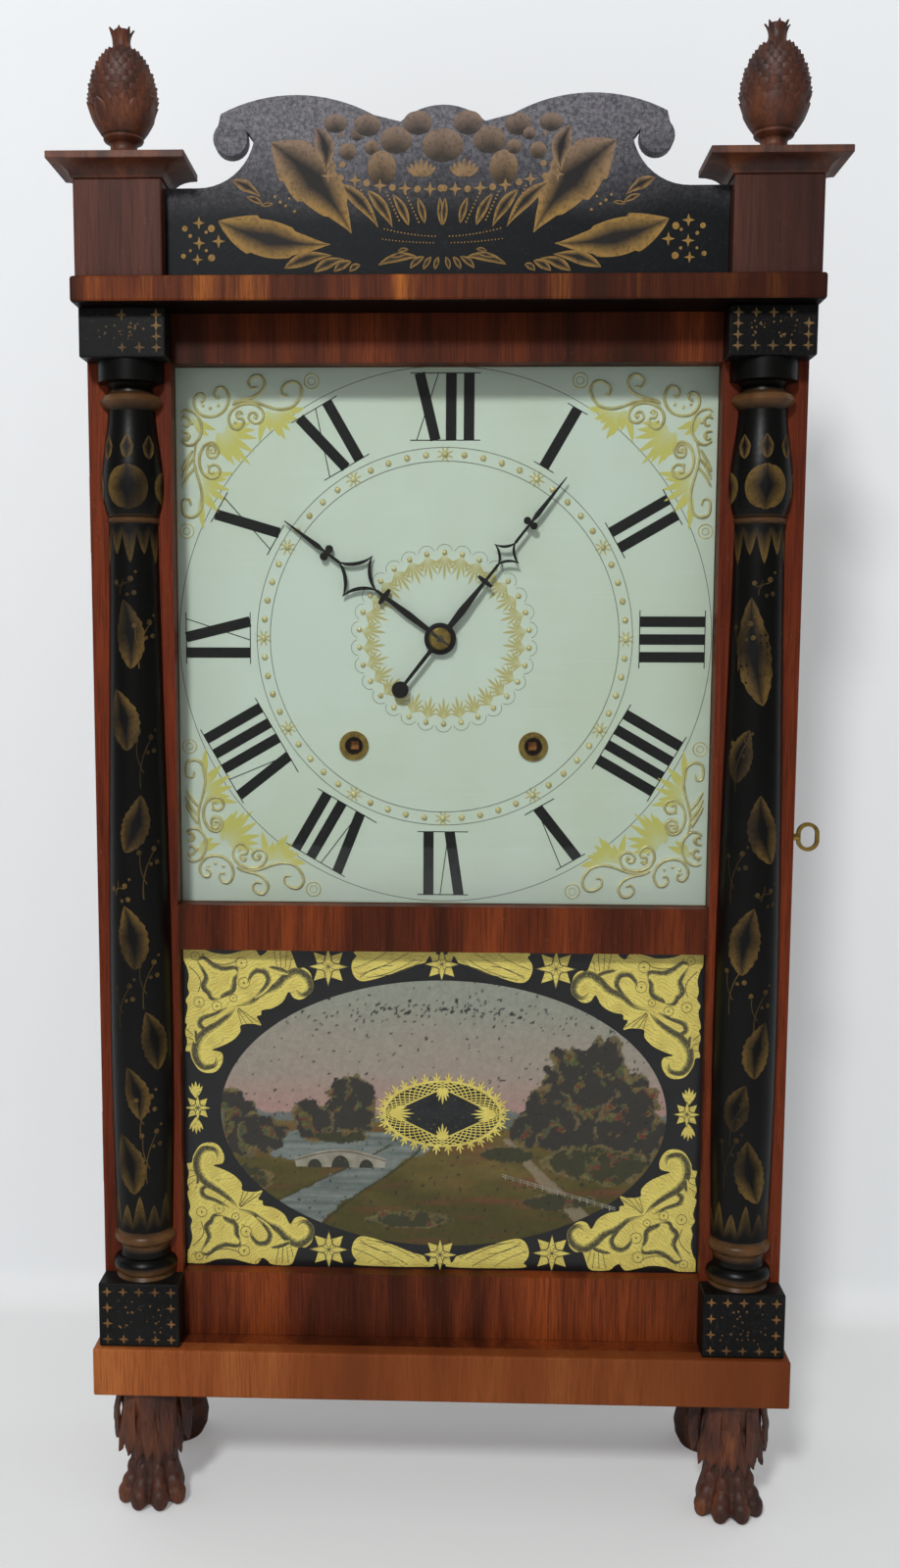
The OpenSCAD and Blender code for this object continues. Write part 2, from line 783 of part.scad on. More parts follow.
module escape_wheel() {
    tooth_step = 360 / escape_teeth;
    color("#b98a4e") pinion(escape_at, centre, fine_tooth, pinion_leaves, centre_level);
    color("#c8a04a") at_arbor(escape_at, escape_level, 1.6) polygon([
        for (i = [0:escape_teeth - 1]) for (k = [[0, escape_r], [3, escape_r - 5.2]])
            k[1] * [cos(i * tooth_step + k[0]), sin(i * tooth_step + k[0])]
    ]);
    color("#6d665c") arbor(escape_at);
}

module pin_wheel() {
    pin_r = pin_wheel_teeth * fine_tooth / 2 - 6;
    pin_back = second_level + wheel_t + 2.4;
    color("#b98a4e") {
        pinion(pin_wheel_at, strike_barrel, great_tooth, pinion_leaves, great_level);
        at_arbor(pin_wheel_at, second_level, wheel_t)
            toothed(pin_wheel_teeth, fine_tooth, toward(pin_wheel_at, fly_at), solid);
    }
    color("#6d665c") {
        arbor(pin_wheel_at);
        for (a = [0:45:315])
            rod(pin_wheel_at + pin_r * [cos(a), sin(a)], 1, second_level + wheel_t, pin_back);
    }
}

module fly() {
    color("#b98a4e") pinion(fly_at, pin_wheel_at, fine_tooth, pinion_leaves, second_level);
    color("#c2a063") board(
        [fly_at.x - 15, back(cord_depth + 2.5), fly_at.y - 0.8],
        [fly_at.x + 15, back(back_plate_depth - 1.5), fly_at.y + 0.8]
    );
    color("#6d665c") arbor(fly_at);
}

// Verge with its two pallets, and the crutch that carries a fork round the pendulum rod.
module verge() {
    pallet_depth = train_depth + 7.8;
    fork_z = verge_at.y - 38;
    crutch_depth = front_plate_depth - 4.5;
    color("#6d665c") {
        rod(verge_at, 2, crutch_depth, back_plate_depth - 0.4);
        rod(verge_at, pivot_r, back_plate_depth - 1, back_plate_depth + plate_t - 0.5);
        at_arbor(verge_at, pallet_depth, 2) for (sx = [0, 1]) mirror([sx, 0]) polygon([
            [0, 1], [0, -2], [11, -6.4], [15.6, -11.2], [16.6, -11.6], [17.4, -8], [12.4, -2.6]
        ]);
        at_arbor(verge_at, pallet_depth, 2) circle(r = 3.6);
        board(
            [verge_at.x - 0.7, back(crutch_depth), fork_z - 0.7],
            [verge_at.x + 0.7, back(crutch_depth + 1.4), verge_at.y]
        );
        board(
            [verge_at.x - 3, back(crutch_depth), fork_z - 0.7],
            [verge_at.x + 3, back(crutch_depth + 1.4), fork_z + 0.7]
        );
        for (sx = [-1, 1]) board(
            [verge_at.x + sx * 2.5 - 0.6, back(rod_depth - 1.6), fork_z - 0.7],
            [verge_at.x + sx * 2.5 + 0.6, back(crutch_depth + 0.5), fork_z + 0.7]
        );
    }
}

module pendulum_rod() {
    spring_low = verge_at.y + 2;
    color("#77716a") {
        board(
            [verge_at.x - 0.15, back(rod_depth - 1), spring_low - 1],
            [verge_at.x + 0.15, back(rod_depth + 1), stud_z]
        );
        translate([verge_at.x, back(rod_depth), bob_z - bob_r - 9])
            cylinder(r = rod_r, h = spring_low - bob_z + bob_r + 9);
        translate([verge_at.x, back(rod_depth), bob_z - bob_r - 7]) cylinder(r = 3.4, h = 3);
    }
}

module pendulum_bob() {
    color("#b98b3c") difference() {
        translate([verge_at.x, back(rod_depth), bob_z]) rotate([90, 0, 0])
            rotate_extrude() polygon(concat(
                [[0, -bob_half_t]], arc([bob_r - bob_half_t, 0], bob_half_t, -70, 70, 7),
                [[0, bob_half_t]]
            ));
        translate([verge_at.x, back(rod_depth), bob_z - bob_r - 2])
            cylinder(r = rod_r, h = 2 * bob_r + 4);
    }
}

module hammer() {
    arm_end = hammer_head + [3, 0];
    hammer_depth = cord_depth;
    color("#4b4743") {
        arbor(hammer_at);
        at_arbor(hammer_at, hammer_depth - 1, 2) {
            rotate(toward(hammer_at, arm_end)) translate([0, -1])
                square([norm(arm_end - hammer_at), 2]);
            circle(r = 4);
        }
        translate([hammer_head.x, back(hammer_depth), hammer_head.y]) rotate([0, 90, 0])
            cylinder(r = 4.5, h = hammer_head_l);
    }
}

// Hands and motion work

module cannon_pinion() {
    color("#8c8377") difference() {
        union() {
            at_arbor(centre, front_plate_depth - 3.4, 2.6) toothed(
                cannon_leaves, cannon_tooth,
                toward(centre, minute_wheel_at) + 180 / cannon_leaves, solid
            );
            rod(centre, cannon_r, dial_depth - 7.2, front_plate_depth - 1);
        }
        rod(centre, 2 + running_fit, dial_depth - 9, front_plate_depth + 1);
    }
}

module minute_wheel() {
    color("#8c8377") difference() {
        union() {
            at_arbor(minute_wheel_at, front_plate_depth - 3.2, 2.2) toothed(
                minute_teeth, cannon_tooth, toward(minute_wheel_at, centre), solid
            );
            at_arbor(minute_wheel_at, front_plate_depth - 7.6, 4.6) toothed(
                minute_leaves, hour_tooth, toward(minute_wheel_at, centre), solid
            );
        }
        rod(minute_wheel_at, pivot_r + running_fit, front_plate_depth - 9, front_plate_depth);
    }
}

module hour_wheel() {
    color("#8c8377") difference() {
        union() {
            at_arbor(centre, front_plate_depth - 7.4, 2.4) toothed(
                hour_teeth, hour_tooth, toward(centre, minute_wheel_at) + 180 / hour_teeth, solid
            );
            rod(centre, hour_pipe_r, dial_depth - 4.6, front_plate_depth - 5.2);
        }
        rod(centre, cannon_r + running_fit, dial_depth - 6, front_plate_depth);
    }
}

// A hollow diamond with curved-in sides, its length along Y from low to high.
module hollow_diamond(low, high, half, rim) {
    middle = (low + high) / 2;
    reach = (high - low) / 2;
    difference() {
        polygon([
            for (q = [0:3]) for (t = [0:0.125:0.875]) let (
                a = 90 * q,
                u = pow(1 - t, 1.35),
                v = pow(t, 1.35),
                c = [u * cos(a) - v * sin(a), u * sin(a) + v * cos(a)]
            ) [c.x * half, middle + c.y * reach]
        ]);
        polygon([
            for (q = [0:3]) for (t = [0:0.125:0.875]) let (
                a = 90 * q,
                u = pow(1 - t, 1.5),
                v = pow(t, 1.5),
                c = [u * cos(a) - v * sin(a), u * sin(a) + v * cos(a)]
            ) [c.x * (half - 1.6 * rim), middle + c.y * (reach - 2 * rim)]
        ]);
    }
}

module hour_hand_shape() {
    tip = hour_hand_l;
    circle(r = 9.6);
    polygon([[-1.5, 8], [1.5, 8], [2.1, 24], [1.2, 41.5], [-1.2, 41.5], [-2.1, 24]]);
    polygon([[-5.4, 41], [0, 40], [5.4, 41], [5.4, 42.8], [0, 43.8], [-5.4, 42.8]]);
    polygon([[-1, 42], [1, 42], [1, 48], [-1, 48]]);
    hollow_diamond(46.8, 77.5, 15.4, 1.5);
    polygon([
        [-1, 76], [1, 76], [0.7, 88], [1.6, 92], [0.3, tip], [-0.3, tip], [-1.6, 92], [-0.7, 88]
    ]);
    for (sx = [-1, 1]) translate([sx * 2.7, 85.3]) circle(r = 2.4);
}

module minute_hand_shape() {
    tip = minute_hand_l;
    circle(r = 6.8);
    polygon([[-1.4, 5], [1.4, 5], [2.35, 20.6], [1, 42], [-1, 42], [-2.35, 20.6]]);
    polygon([[-5.2, 42.4], [0, 41.6], [5.2, 42.4], [5.2, 44], [0, 44.8], [-5.2, 44]]);
    polygon([[-0.9, 43], [0.9, 43], [0.9, 56], [-0.9, 56]]);
    hollow_diamond(55, 72.9, 9.5, 1.2);
    polygon([
        [-0.9, 72], [0.9, 72], [0.7, 88], [1.6, 93], [0.3, tip], [-0.3, tip], [-1.6, 93], [-0.7, 88]
    ]);
    for (sx = [-1, 1]) translate([sx * 2.5, 86.7]) circle(r = 2.2);
    polygon([[-1.3, -5], [-1, -34], [1, -34], [1.3, -5]]);
    translate([0, -38.9]) circle(r = 5.1);
}

module hour_hand() {
    color("#17130f") at_arbor(centre, dial_depth - 4.4, 1.3) difference() {
        rotate(-hour_hand_angle) hour_hand_shape();
        circle(r = hour_pipe_r);
    }
}

// The minute hand with the brass collet and the taper pin that hold it.
module minute_hand() {
    color("#17130f") at_arbor(centre, dial_depth - 7, 1.3) difference() {
        rotate(-minute_hand_angle) minute_hand_shape();
        circle(r = cannon_r);
    }
    color("#b58d3a") difference() {
        rod(centre, 6.4, dial_depth - 8.4, dial_depth - 7.2);
        rod(centre, 2 + running_fit, dial_depth - 9, dial_depth - 7);
    }
}

// Weights, pulleys and cords

module one_weight(sx) {
    ring_r = 3.2;
    ring_wire = 0.9;
    color("#3b3835") translate([sx * weight_x, back(cord_depth), weight_z]) {
        rotate_extrude() polygon([
            [0, 0], [weight_r - 1.5, 0], [weight_r, 1.5], [weight_r, weight_h - 5],
            [weight_r - 5, weight_h - 1], [4, weight_h], [0, weight_h]
        ]);
        cylinder(r = 1.4, h = weight_h + weight_hook_h - ring_r - 4);
        translate([0, 0, weight_h + weight_hook_h - ring_r - ring_wire - cord_gap])
            rotate([90, 0, 0]) rotate_extrude() translate([ring_r, 0]) circle(r = ring_wire);
    }
}

module time_weight() {
    one_weight(1);
}

module strike_weight() {
    one_weight(-1);
}

module one_pulley(sx) {
    flange_r = pulley_r + 4;
    color("#8d6a3c") translate([sx * pulley_x, back(cord_depth), pulley_z]) rotate([90, 0, 0])
        rotate_extrude() polygon([
            [pivot_r + running_fit, -4], [flange_r, -4], [flange_r, -2.8], [pulley_r, -1.3],
            [pulley_r, 1.3], [flange_r, 2.8], [flange_r, 4], [pivot_r + running_fit, 4]
        ]);
}

module time_pulley() {
    one_pulley(1);
}

module strike_pulley() {
    one_pulley(-1);
}

// The cord leaves the inner side of the drum, so that the weight turns the hands clockwise,
// then rises to the pulley and wraps over it to the fall.
module cord_risers() {
    let_in = 0.05;
    from = [winding_half, time_barrel.y];
    to = [pulley_x, pulley_z];
    leave_turn = toward(from, to) + acos((drum_wrap_r - wrap_r) / norm(to - from));
    side = [cos(leave_turn), sin(leave_turn)];
    start = from + drum_wrap_r * side;
    end = to + wrap_r * side;
    color("#8f8468") both_sides() {
        translate([start.x, back(cord_depth), start.y]) rotate([0, 90 - toward(start, end), 0])
            cylinder(r = cord_r - let_in, h = norm(end - start) + let_in);
        translate([to.x, back(cord_depth), to.y]) rotate([90, 0, 0])
            rotate_extrude(angle = leave_turn) translate([wrap_r, 0]) circle(r = cord_r);
    }
}

module cord_fall(sx) {
    color("#8f8468") translate([sx * weight_x, back(cord_depth), fall_low])
        cylinder(r = cord_r, h = pulley_z - fall_low);
}

module time_cord_fall() {
    cord_fall(1);
}

module strike_cord_fall() {
    cord_fall(-1);
}

// Lock and key

module lock_case() {
    low = [inner_half - 12, back(case_front_depth + 0.4), key_z - 14];
    high = [inner_half, back(case_front_depth + 26), key_z + 14];
    color("#a98540") difference() {
        board(low, high);
        board(low + [1.4, 1.4, 1.4], high - [1.4, 1.4, 1.4]);
        board(
            [bolt_x - bolt_t / 2 - 0.3, low.y - 1, key_z + bolt_rise - 0.3],
            [bolt_x + bolt_t / 2 + 0.3, low.y + 3, key_z + bolt_rise + bolt_h + 0.3]
        );
        translate([inner_half - 3, back(key_depth), key_z]) rotate([0, 90, 0])
            cylinder(r = key_shank_r + running_fit, h = 4);
    }
}

module lock_bolt() {
    color("#b8914a") difference() {
        board(
            [bolt_x - bolt_t / 2, back(case_front_depth + 0.1), key_z + bolt_rise],
            [bolt_x + bolt_t / 2, back(case_front_depth + 18), key_z + bolt_rise + bolt_h]
        );
        board(
            [bolt_x - bolt_t, back(key_depth - 2.6), key_z],
            [bolt_x + bolt_t, back(key_depth + 2.6), key_z + bit_h + 0.6]
        );
    }
}

module key() {
    bow_r = 6.8;
    bow_rise = 2;
    bow_wire = 2.3;
    bow_x = case_half + 14.4;
    bow_hole = bow_r - bow_wire;
    color("#c9a341") translate([0, back(key_depth), key_z]) {
        difference() {
            translate([bow_x, 0, 0]) rotate([90, 0, 0]) linear_extrude(2.4, center = true) {
                for (sz = [-1, 1]) translate([0, sz * bow_rise]) circle(r = bow_r);
                square([2 * bow_r, 2 * bow_rise], center = true);
            }
            translate([bow_x, 0, 0]) rotate([90, 0, 0]) linear_extrude(4, center = true) {
                for (sz = [-1, 1]) translate([0, sz * bow_rise]) circle(r = bow_hole);
                square([2 * bow_hole, 2 * bow_rise], center = true);
            }
        }
        translate([bolt_x - bolt_t, 0, 0]) rotate([0, 90, 0])
            cylinder(r = key_shank_r, h = bow_x - bow_hole - 1 - bolt_x + bolt_t);
        board([bolt_x - bolt_t / 2 - 0.5, -0.8, 0], [bolt_x + bolt_t / 2 + 0.5, 0.8, bit_h]);
        translate([case_half + 1, 0, 0]) rotate([0, 90, 0]) cylinder(r = 3.2, h = 3);
    }
}

// Hinges

// Knuckles stacked along the pin, as [start, length] shares of the hinge height.
module knuckles(spans) {
    for (z = hinge_places) for (s = spans)
        translate([hinge_x, back(hinge_depth), z + s[0] * hinge_h])
            cylinder(r = hinge_barrel_r, h = s[1] * hinge_h);
}

module case_hinge_leaves() {
    color("#b08d47") {
        knuckles([[0.34, 0.32]]);
        for (z = hinge_places) {
            board(
                [hinge_x, back(case_front_depth), z + 0.34 * hinge_h],
                [-case_half, back(case_front_depth + hinge_leaf_t), z + 0.66 * hinge_h]
            );
            board(
                [-case_half, back(case_front_depth), z],
                [-case_half + hinge_leaf_w - 0.3, back(case_front_depth + hinge_leaf_t), z + hinge_h]
            );
            translate([hinge_x, back(hinge_depth), z - 1]) cylinder(r = hinge_pin_r, h = hinge_h + 2);
        }
    }
}

module door_hinge_leaves() {
    color("#b08d47") difference() {
        union() {
            knuckles([[0, 0.33], [0.67, 0.33]]);
            for (z = hinge_places) {
                for (s = [0, 0.67]) board(
                    [hinge_x, back(door_t - hinge_leaf_t), z + s * hinge_h],
                    [-case_half, back(door_t), z + (s + 0.33) * hinge_h]
                );
                board(
                    [-case_half, back(door_t - hinge_leaf_t), z],
                    [-case_half + hinge_leaf_w - 0.3, back(door_t), z + hinge_h]
                );
            }
        }
        for (z = hinge_places) translate([hinge_x, back(hinge_depth), z - 2])
            cylinder(r = hinge_pin_r + running_fit, h = hinge_h + 4);
    }
}

// Door

// The cut along an opening that the glass sits in.
module rebate(z0, z1) {
    wide_board(
        opening_half + rebate_w, rebate_depth, door_t + 1, z0 - rebate_w, z1 + rebate_w
    );
}

module glass_rebates() {
    rebate(tablet_z, mid_rail_z);
    rebate(dial_open_z, top_rail_z);
}

module door_stiles() {
    color("#5e1f14") difference() {
        both_sides() board(
            [opening_half, back(0), door_z], [case_half, back(door_t), door_top_z]
        );
        glass_rebates();
        for (z = hinge_places) board(
            [-case_half - 1, back(door_t - hinge_leaf_t), z - 0.2],
            [-case_half + hinge_leaf_w, back(door_t) + 1, z + hinge_h + 0.2]
        );
        board(
            [bolt_x - bolt_t / 2 - 1, back(door_t - bolt_throw - 1), key_z + bolt_rise - 1],
            [bolt_x + bolt_t / 2 + 1, back(door_t) + 1, key_z + bolt_rise + bolt_h + 1]
        );
    }
}

module door_rails() {
    color("#6e2b18") difference() {
        union() {
            wide_board(opening_half, 0, door_t, door_z, tablet_z);
            wide_board(opening_half, 0, door_t, mid_rail_z, dial_open_z);
            wide_board(opening_half, 0, door_t, top_rail_z, door_top_z);
        }
        glass_rebates();
    }
}

module dial_glass() {
    color("#dfe8e6", 0.25) wide_board(
        opening_half + rebate_w - 0.5, rebate_depth, rebate_depth + glass_t,
        dial_open_z - rebate_w + 0.5, top_rail_z + rebate_w - 0.5
    );
}

module tablet_glass() {
    color("#2a2a28") wide_board(
        opening_half + rebate_w - 0.5, rebate_depth, rebate_depth + glass_t,
        tablet_z - rebate_w + 0.5, mid_rail_z + rebate_w - 0.5
    );
}

// Thin strips pinned behind the glass, all the way round each rebate.
module glazing_strips() {
    strip_t = 3;
    color("#7a4a2a") for (z = [[tablet_z, mid_rail_z], [dial_open_z, top_rail_z]]) difference() {
        wide_board(
            opening_half + rebate_w, rebate_depth + glass_t, rebate_depth + glass_t + strip_t,
            z[0] - rebate_w, z[1] + rebate_w
        );
        wide_board(
            opening_half, rebate_depth, rebate_depth + glass_t + strip_t + 1, z[0], z[1]
        );
    }
}

// Half columns with a turned base, a swelling shaft, a vase and a neck under the capital.
module half_columns() {
    low = tablet_z;
    high = top_rail_z;
    shaft_low = low + 29.8;
    shaft_high = high - 91.8;
    torus_r = 19.8;
    color("#15120f") both_sides() intersection() {
        translate([column_x, back(column_set_back), 0]) rotate_extrude() polygon(concat(
            [[0, low], [torus_r - 1.6, low]],
            arc([torus_r - 6.2, low + 7.4], 6.2, -60, 70, 8),
            [[15.5, low + 15.4], [15.5, low + 20.4], [17.2, low + 21.8]],
            arc([shaft_belly_r - 3.2, low + 25], 3.2, -70, 70, 6),
            [
                for (i = [0:20]) let (t = i / 20) [
                    through(t, [0, 0.286, 0.603, 1], [
                        shaft_foot_r, shaft_belly_r, shaft_upper_r, shaft_neck_r
                    ]),
                    shaft_low + t * (shaft_high - shaft_low)
                ]
            ],
            arc([shaft_neck_r - 0.8, high - 89.8], 1.8, -60, 70, 5),
            [
                for (i = [0:14]) let (t = i / 14) [
                    through(t, [0, 0.3, 0.62, 1], [15.2, 18.2, 16.6, 14]),
                    high - 87.8 + t * 60
                ]
            ],
            [[16.6, high - 25], [18.5, high - 22.8], [17, high - 19.6], [13.2, high - 17.4]],
            [[12.5, high - 14.8], [14.6, high - 12.6], [19.5, high - 11.8], [19.5, high - 0.3]],
            [[19.3, high], [0, high]]
        ));
        board([0, back(-30), 0], [case_half, back(0), high]);
    }
}

module column_blocks() {
    color("#15120f") both_sides() for (z = [[door_z, tablet_z], [top_rail_z, door_top_z]]) board(
        [opening_half - 0.8, back(-column_block_d), z[0]], [case_half, back(0), z[1]]
    );
}

front_feet();
back_feet();
plinth();
case_floor();
glue_blocks();
side_left();
side_right();
backboard();
paper_label();
cornice_board();
finial_blocks();
block_caps();
finials();
splat();
movement_posts();
dial_rails();
dial_board();
dial_grommets();
dial_button();
front_plate();
back_plate();
pulley_brackets();
bell();
cord_risers();
lock_case();
lock_bolt();
key();
case_hinge_leaves();
door_hinge_leaves();
door_stiles();
door_rails();
half_columns();
column_blocks();
dial_glass();
tablet_glass();
glazing_strips();
time_drum();
time_great_wheel();
time_second_wheel();
centre_wheel();
escape_wheel();
strike_drum();
strike_great_wheel();
pin_wheel();
fly();
verge();
pendulum_rod();
pendulum_bob();
hammer();
cannon_pinion();
minute_hand();
hour_wheel();
hour_hand();
minute_wheel();
time_weight();
strike_weight();
time_cord_fall();
strike_cord_fall();
time_pulley();
strike_pulley();
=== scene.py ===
# Column and splat shelf clock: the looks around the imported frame.
import json, math, random
import bpy, bmesh
from mathutils import Matrix, Vector, noise


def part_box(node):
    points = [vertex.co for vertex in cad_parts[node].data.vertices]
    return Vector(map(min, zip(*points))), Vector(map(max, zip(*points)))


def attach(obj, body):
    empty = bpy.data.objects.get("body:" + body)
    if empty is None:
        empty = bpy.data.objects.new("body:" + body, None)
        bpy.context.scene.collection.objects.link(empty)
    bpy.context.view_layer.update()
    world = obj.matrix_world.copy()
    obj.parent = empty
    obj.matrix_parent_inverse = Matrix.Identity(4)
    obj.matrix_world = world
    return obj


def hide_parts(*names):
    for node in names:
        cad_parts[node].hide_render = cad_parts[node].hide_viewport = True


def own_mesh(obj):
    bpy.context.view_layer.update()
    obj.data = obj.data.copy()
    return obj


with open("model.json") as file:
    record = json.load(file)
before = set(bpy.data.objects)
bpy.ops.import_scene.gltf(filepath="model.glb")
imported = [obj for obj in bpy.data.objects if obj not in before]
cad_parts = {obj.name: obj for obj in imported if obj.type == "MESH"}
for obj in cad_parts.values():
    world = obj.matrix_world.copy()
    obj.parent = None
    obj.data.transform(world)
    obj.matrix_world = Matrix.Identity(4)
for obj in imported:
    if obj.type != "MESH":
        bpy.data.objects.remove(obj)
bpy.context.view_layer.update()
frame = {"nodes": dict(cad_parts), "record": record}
nodes, record = frame["nodes"], frame["record"]
bodyOf = {node: body for body, members in record["behaviour"]["bodies"].items() for node in members}
slotOf = {part["node"]: part["material_slot"] for part in record["subparts"]}
mm = 0.001
print("frame loaded:", len(nodes), "nodes")

# Camera, solved from the corners of the case in the photograph (mm, degrees and pixels)
photoView = {"eye": (7.6, -897.2, 534.6), "yaw": -1.922, "pitch": -6.332, "roll": 0.19,
             "focal": 1492.0, "axisX": 414.8, "axisY": 823.1, "width": 917, "height": 1600, "sensor": 36}


def makeCamera(view):
    yaw, pitch, roll = (math.radians(view[k]) for k in ("yaw", "pitch", "roll"))
    forward = Vector((math.sin(yaw) * math.cos(pitch), math.cos(yaw) * math.cos(pitch), math.sin(pitch)))
    level = Vector((math.cos(yaw), -math.sin(yaw), 0))
    upright = level.cross(forward)
    right = math.cos(roll) * level + math.sin(roll) * upright
    up = math.cos(roll) * upright - math.sin(roll) * level
    lens = bpy.data.cameras.new("camera")
    lens.sensor_width = view["sensor"]
    lens.lens = view["focal"] * view["sensor"] / view["height"]
    lens.shift_x = (view["width"] / 2 - view["axisX"]) / view["height"]
    lens.shift_y = (view["axisY"] - view["height"] / 2) / view["height"]
    camera = bpy.data.objects.new("camera", lens)
    aim = Matrix((right, up, -forward)).transposed().to_4x4()
    camera.matrix_world = Matrix.Translation(Vector(view["eye"]) * mm) @ aim
    bpy.context.scene.collection.objects.link(camera)
    bpy.context.scene.camera = camera


makeCamera(photoView)
bpy.context.scene.view_settings.view_transform = "Standard"


def linearValue(c):
    return c / 12.92 if c <= 0.04045 else ((c + 0.055) / 1.055) ** 2.4


def linear(code):
    return [linearValue(int(code[i:i + 2], 16) / 255) for i in (1, 3, 5)] + [1.0]


class Finish:
    # A material and short calls for the nodes that it is mixed from
    def __init__(self, name, **fixed):
        self.material = bpy.data.materials.new(name)
        self.material.use_nodes = True
        self.tree = self.material.node_tree
        self.shader = self.tree.nodes["Principled BSDF"]
        for socket, value in fixed.items():
            self.shader.inputs[socket.replace("_", " ")].default_value = value
        self.place = self.add("ShaderNodeTexCoord").outputs["Object"]

    def add(self, kind, inputs=None, **settings):
        made = self.tree.nodes.new(kind)
        for key, value in settings.items():
            setattr(made, key, value)
        for key, value in (inputs or {}).items():
            if isinstance(value, bpy.types.NodeSocket):
                self.tree.links.new(value, made.inputs[key])
            else:
                made.inputs[key].default_value = value
        return made

    def link(self, socket, value):
        self.tree.links.new(value, self.shader.inputs[socket])

    def split(self, vector=None):
        # The x, y and z of a vector, or of the place on the piece
        return self.add("ShaderNodeSeparateXYZ", {0: vector or self.place}).outputs

    def stroke(self):
        # How far along a painted stroke and how far across it, from 0 to 1
        return self.split(self.add("ShaderNodeUVMap").outputs[0])[:2]

    def cloud(self, stretch, detail=3.0, rough=0.5, twist=0.0):
        place = self.add("ShaderNodeMapping", {"Vector": self.place, "Scale": stretch}).outputs[0]
        return self.add("ShaderNodeTexNoise", {"Vector": place, "Scale": 1.0, "Detail": detail,
                                               "Roughness": rough, "Distortion": twist}).outputs[0]

    def ramp(self, value, *stops):
        made = self.add("ShaderNodeValToRGB", {"Fac": value})
        band = made.color_ramp
        while len(band.elements) < len(stops):
            band.elements.new(0.5)
        for element, (at, colour) in zip(band.elements, stops):
            element.position = at
            element.color = linear(colour) if isinstance(colour, str) else [colour] * 3 + [1]
        return made.outputs[0]

    def mix(self, amount, first, second, way="MIX"):
        made = self.add("ShaderNodeMix", data_type="RGBA", blend_type=way)
        for index, value in ((0, amount), (6, first), (7, second)):
            if isinstance(value, bpy.types.NodeSocket):
                self.tree.links.new(value, made.inputs[index])
            else:
                made.inputs[index].default_value = linear(value) if isinstance(value, str) else value
        return made.outputs[2]

    def sum(self, way, first, second):
        return self.add("ShaderNodeMath", {0: first, 1: second}, operation=way).outputs[0]

    def paint(self, amount, first, second):
        self.link("Base Color", self.mix(amount, first, second))

    def apart(self, value, middle):
        # How far a value lies from a middle one
        return self.sum("ABSOLUTE", self.sum("SUBTRACT", value, middle), 0.0)

    def orClear(self, amount, colour=(1, 1, 1, 1)):
        # Mixes the whole material with a transparent one
        clear = self.add("ShaderNodeBsdfTransparent", {"Color": colour}).outputs[0]
        either = self.add("ShaderNodeMixShader", {0: amount, 1: self.shader.outputs[0], 2: clear}).outputs[0]
        self.tree.links.new(either, self.tree.nodes["Material Output"].inputs[0])

    def bump(self, height, strength, distance):
        made = self.add("ShaderNodeBump", {"Height": height, "Strength": strength, "Distance": distance})
        self.link("Normal", made.outputs[0])


# Veneers and solid woods: colours, how far painted shade darkens them to the right and painted shadow of the
# cornice to the top, the figure's scale along each axis, the contrast of its stripes and the roughness of its
# polish
woodLooks = {
    "cornice_wood": {"dark": "#2b120a", "mid": "#74361a", "light": "#cf762e", "rightShadeDepth": 0.85,
                     "stripe": (32, 10, 2.5), "contrast": 0.2, "sheen": 0.32},
    "plinth_wood": {"dark": "#6a3418", "mid": "#a2572b", "light": "#ca7a42", "rightShadeDepth": 0.9,
                    "stripe": (22, 10, 2.0), "contrast": 0.26, "sheen": 0.3},
    "rail_wood": {"dark": "#26120a", "mid": "#6b2f18", "light": "#a44e22", "rightShadeDepth": 0.2, "topShadowDepth": 0.35,
                  "stripe": (24, 10, 2.2), "contrast": 0.2, "sheen": 0.3},
    "stile_wood": {"dark": "#2c130b", "mid": "#6d2c17", "light": "#8e3f1e", "rightShadeDepth": 0.0,
                   "stripe": (42, 30, 1.6), "contrast": 0.22, "sheen": 0.3},
    "side_wood": {"dark": "#28110a", "mid": "#50231a", "light": "#743822", "rightShadeDepth": 0.95,
                  "stripe": (30, 24, 1.4), "contrast": 0.26, "sheen": 0.34},
    "block_wood": {"dark": "#2e1712", "mid": "#5a3228", "light": "#6c4234", "rightShadeDepth": 0.5, "shine": 0.16,
                   "stripe": (60, 60, 2.5), "contrast": 0.28, "sheen": 0.4},
    "carved_wood": {"dark": "#200e08", "mid": "#5a2b16", "light": "#86481f", "rightShadeDepth": 0.1, "shine": 0.5,
                    "stripe": (60, 60, 24), "contrast": 0.25, "sheen": 0.42},
    "strip_wood": {"dark": "#2c1a10", "mid": "#57361f", "light": "#744c2d", "stripe": (40, 40, 8),
                   "contrast": 0.3, "sheen": 0.6},
    "pine": {"dark": "#6d4a2a", "mid": "#94703f", "light": "#b08a58", "stripe": (30, 30, 3), "contrast": 0.25,
             "sheen": 0.7},
    "oak": {"dark": "#6a4726", "mid": "#94693a", "light": "#b08550", "stripe": (70, 70, 6), "contrast": 0.25,
            "sheen": 0.55},
    "cherry": {"dark": "#6c4020", "mid": "#99622f", "light": "#b57d44", "stripe": (80, 80, 10),
               "contrast": 0.25, "sheen": 0.5},
}


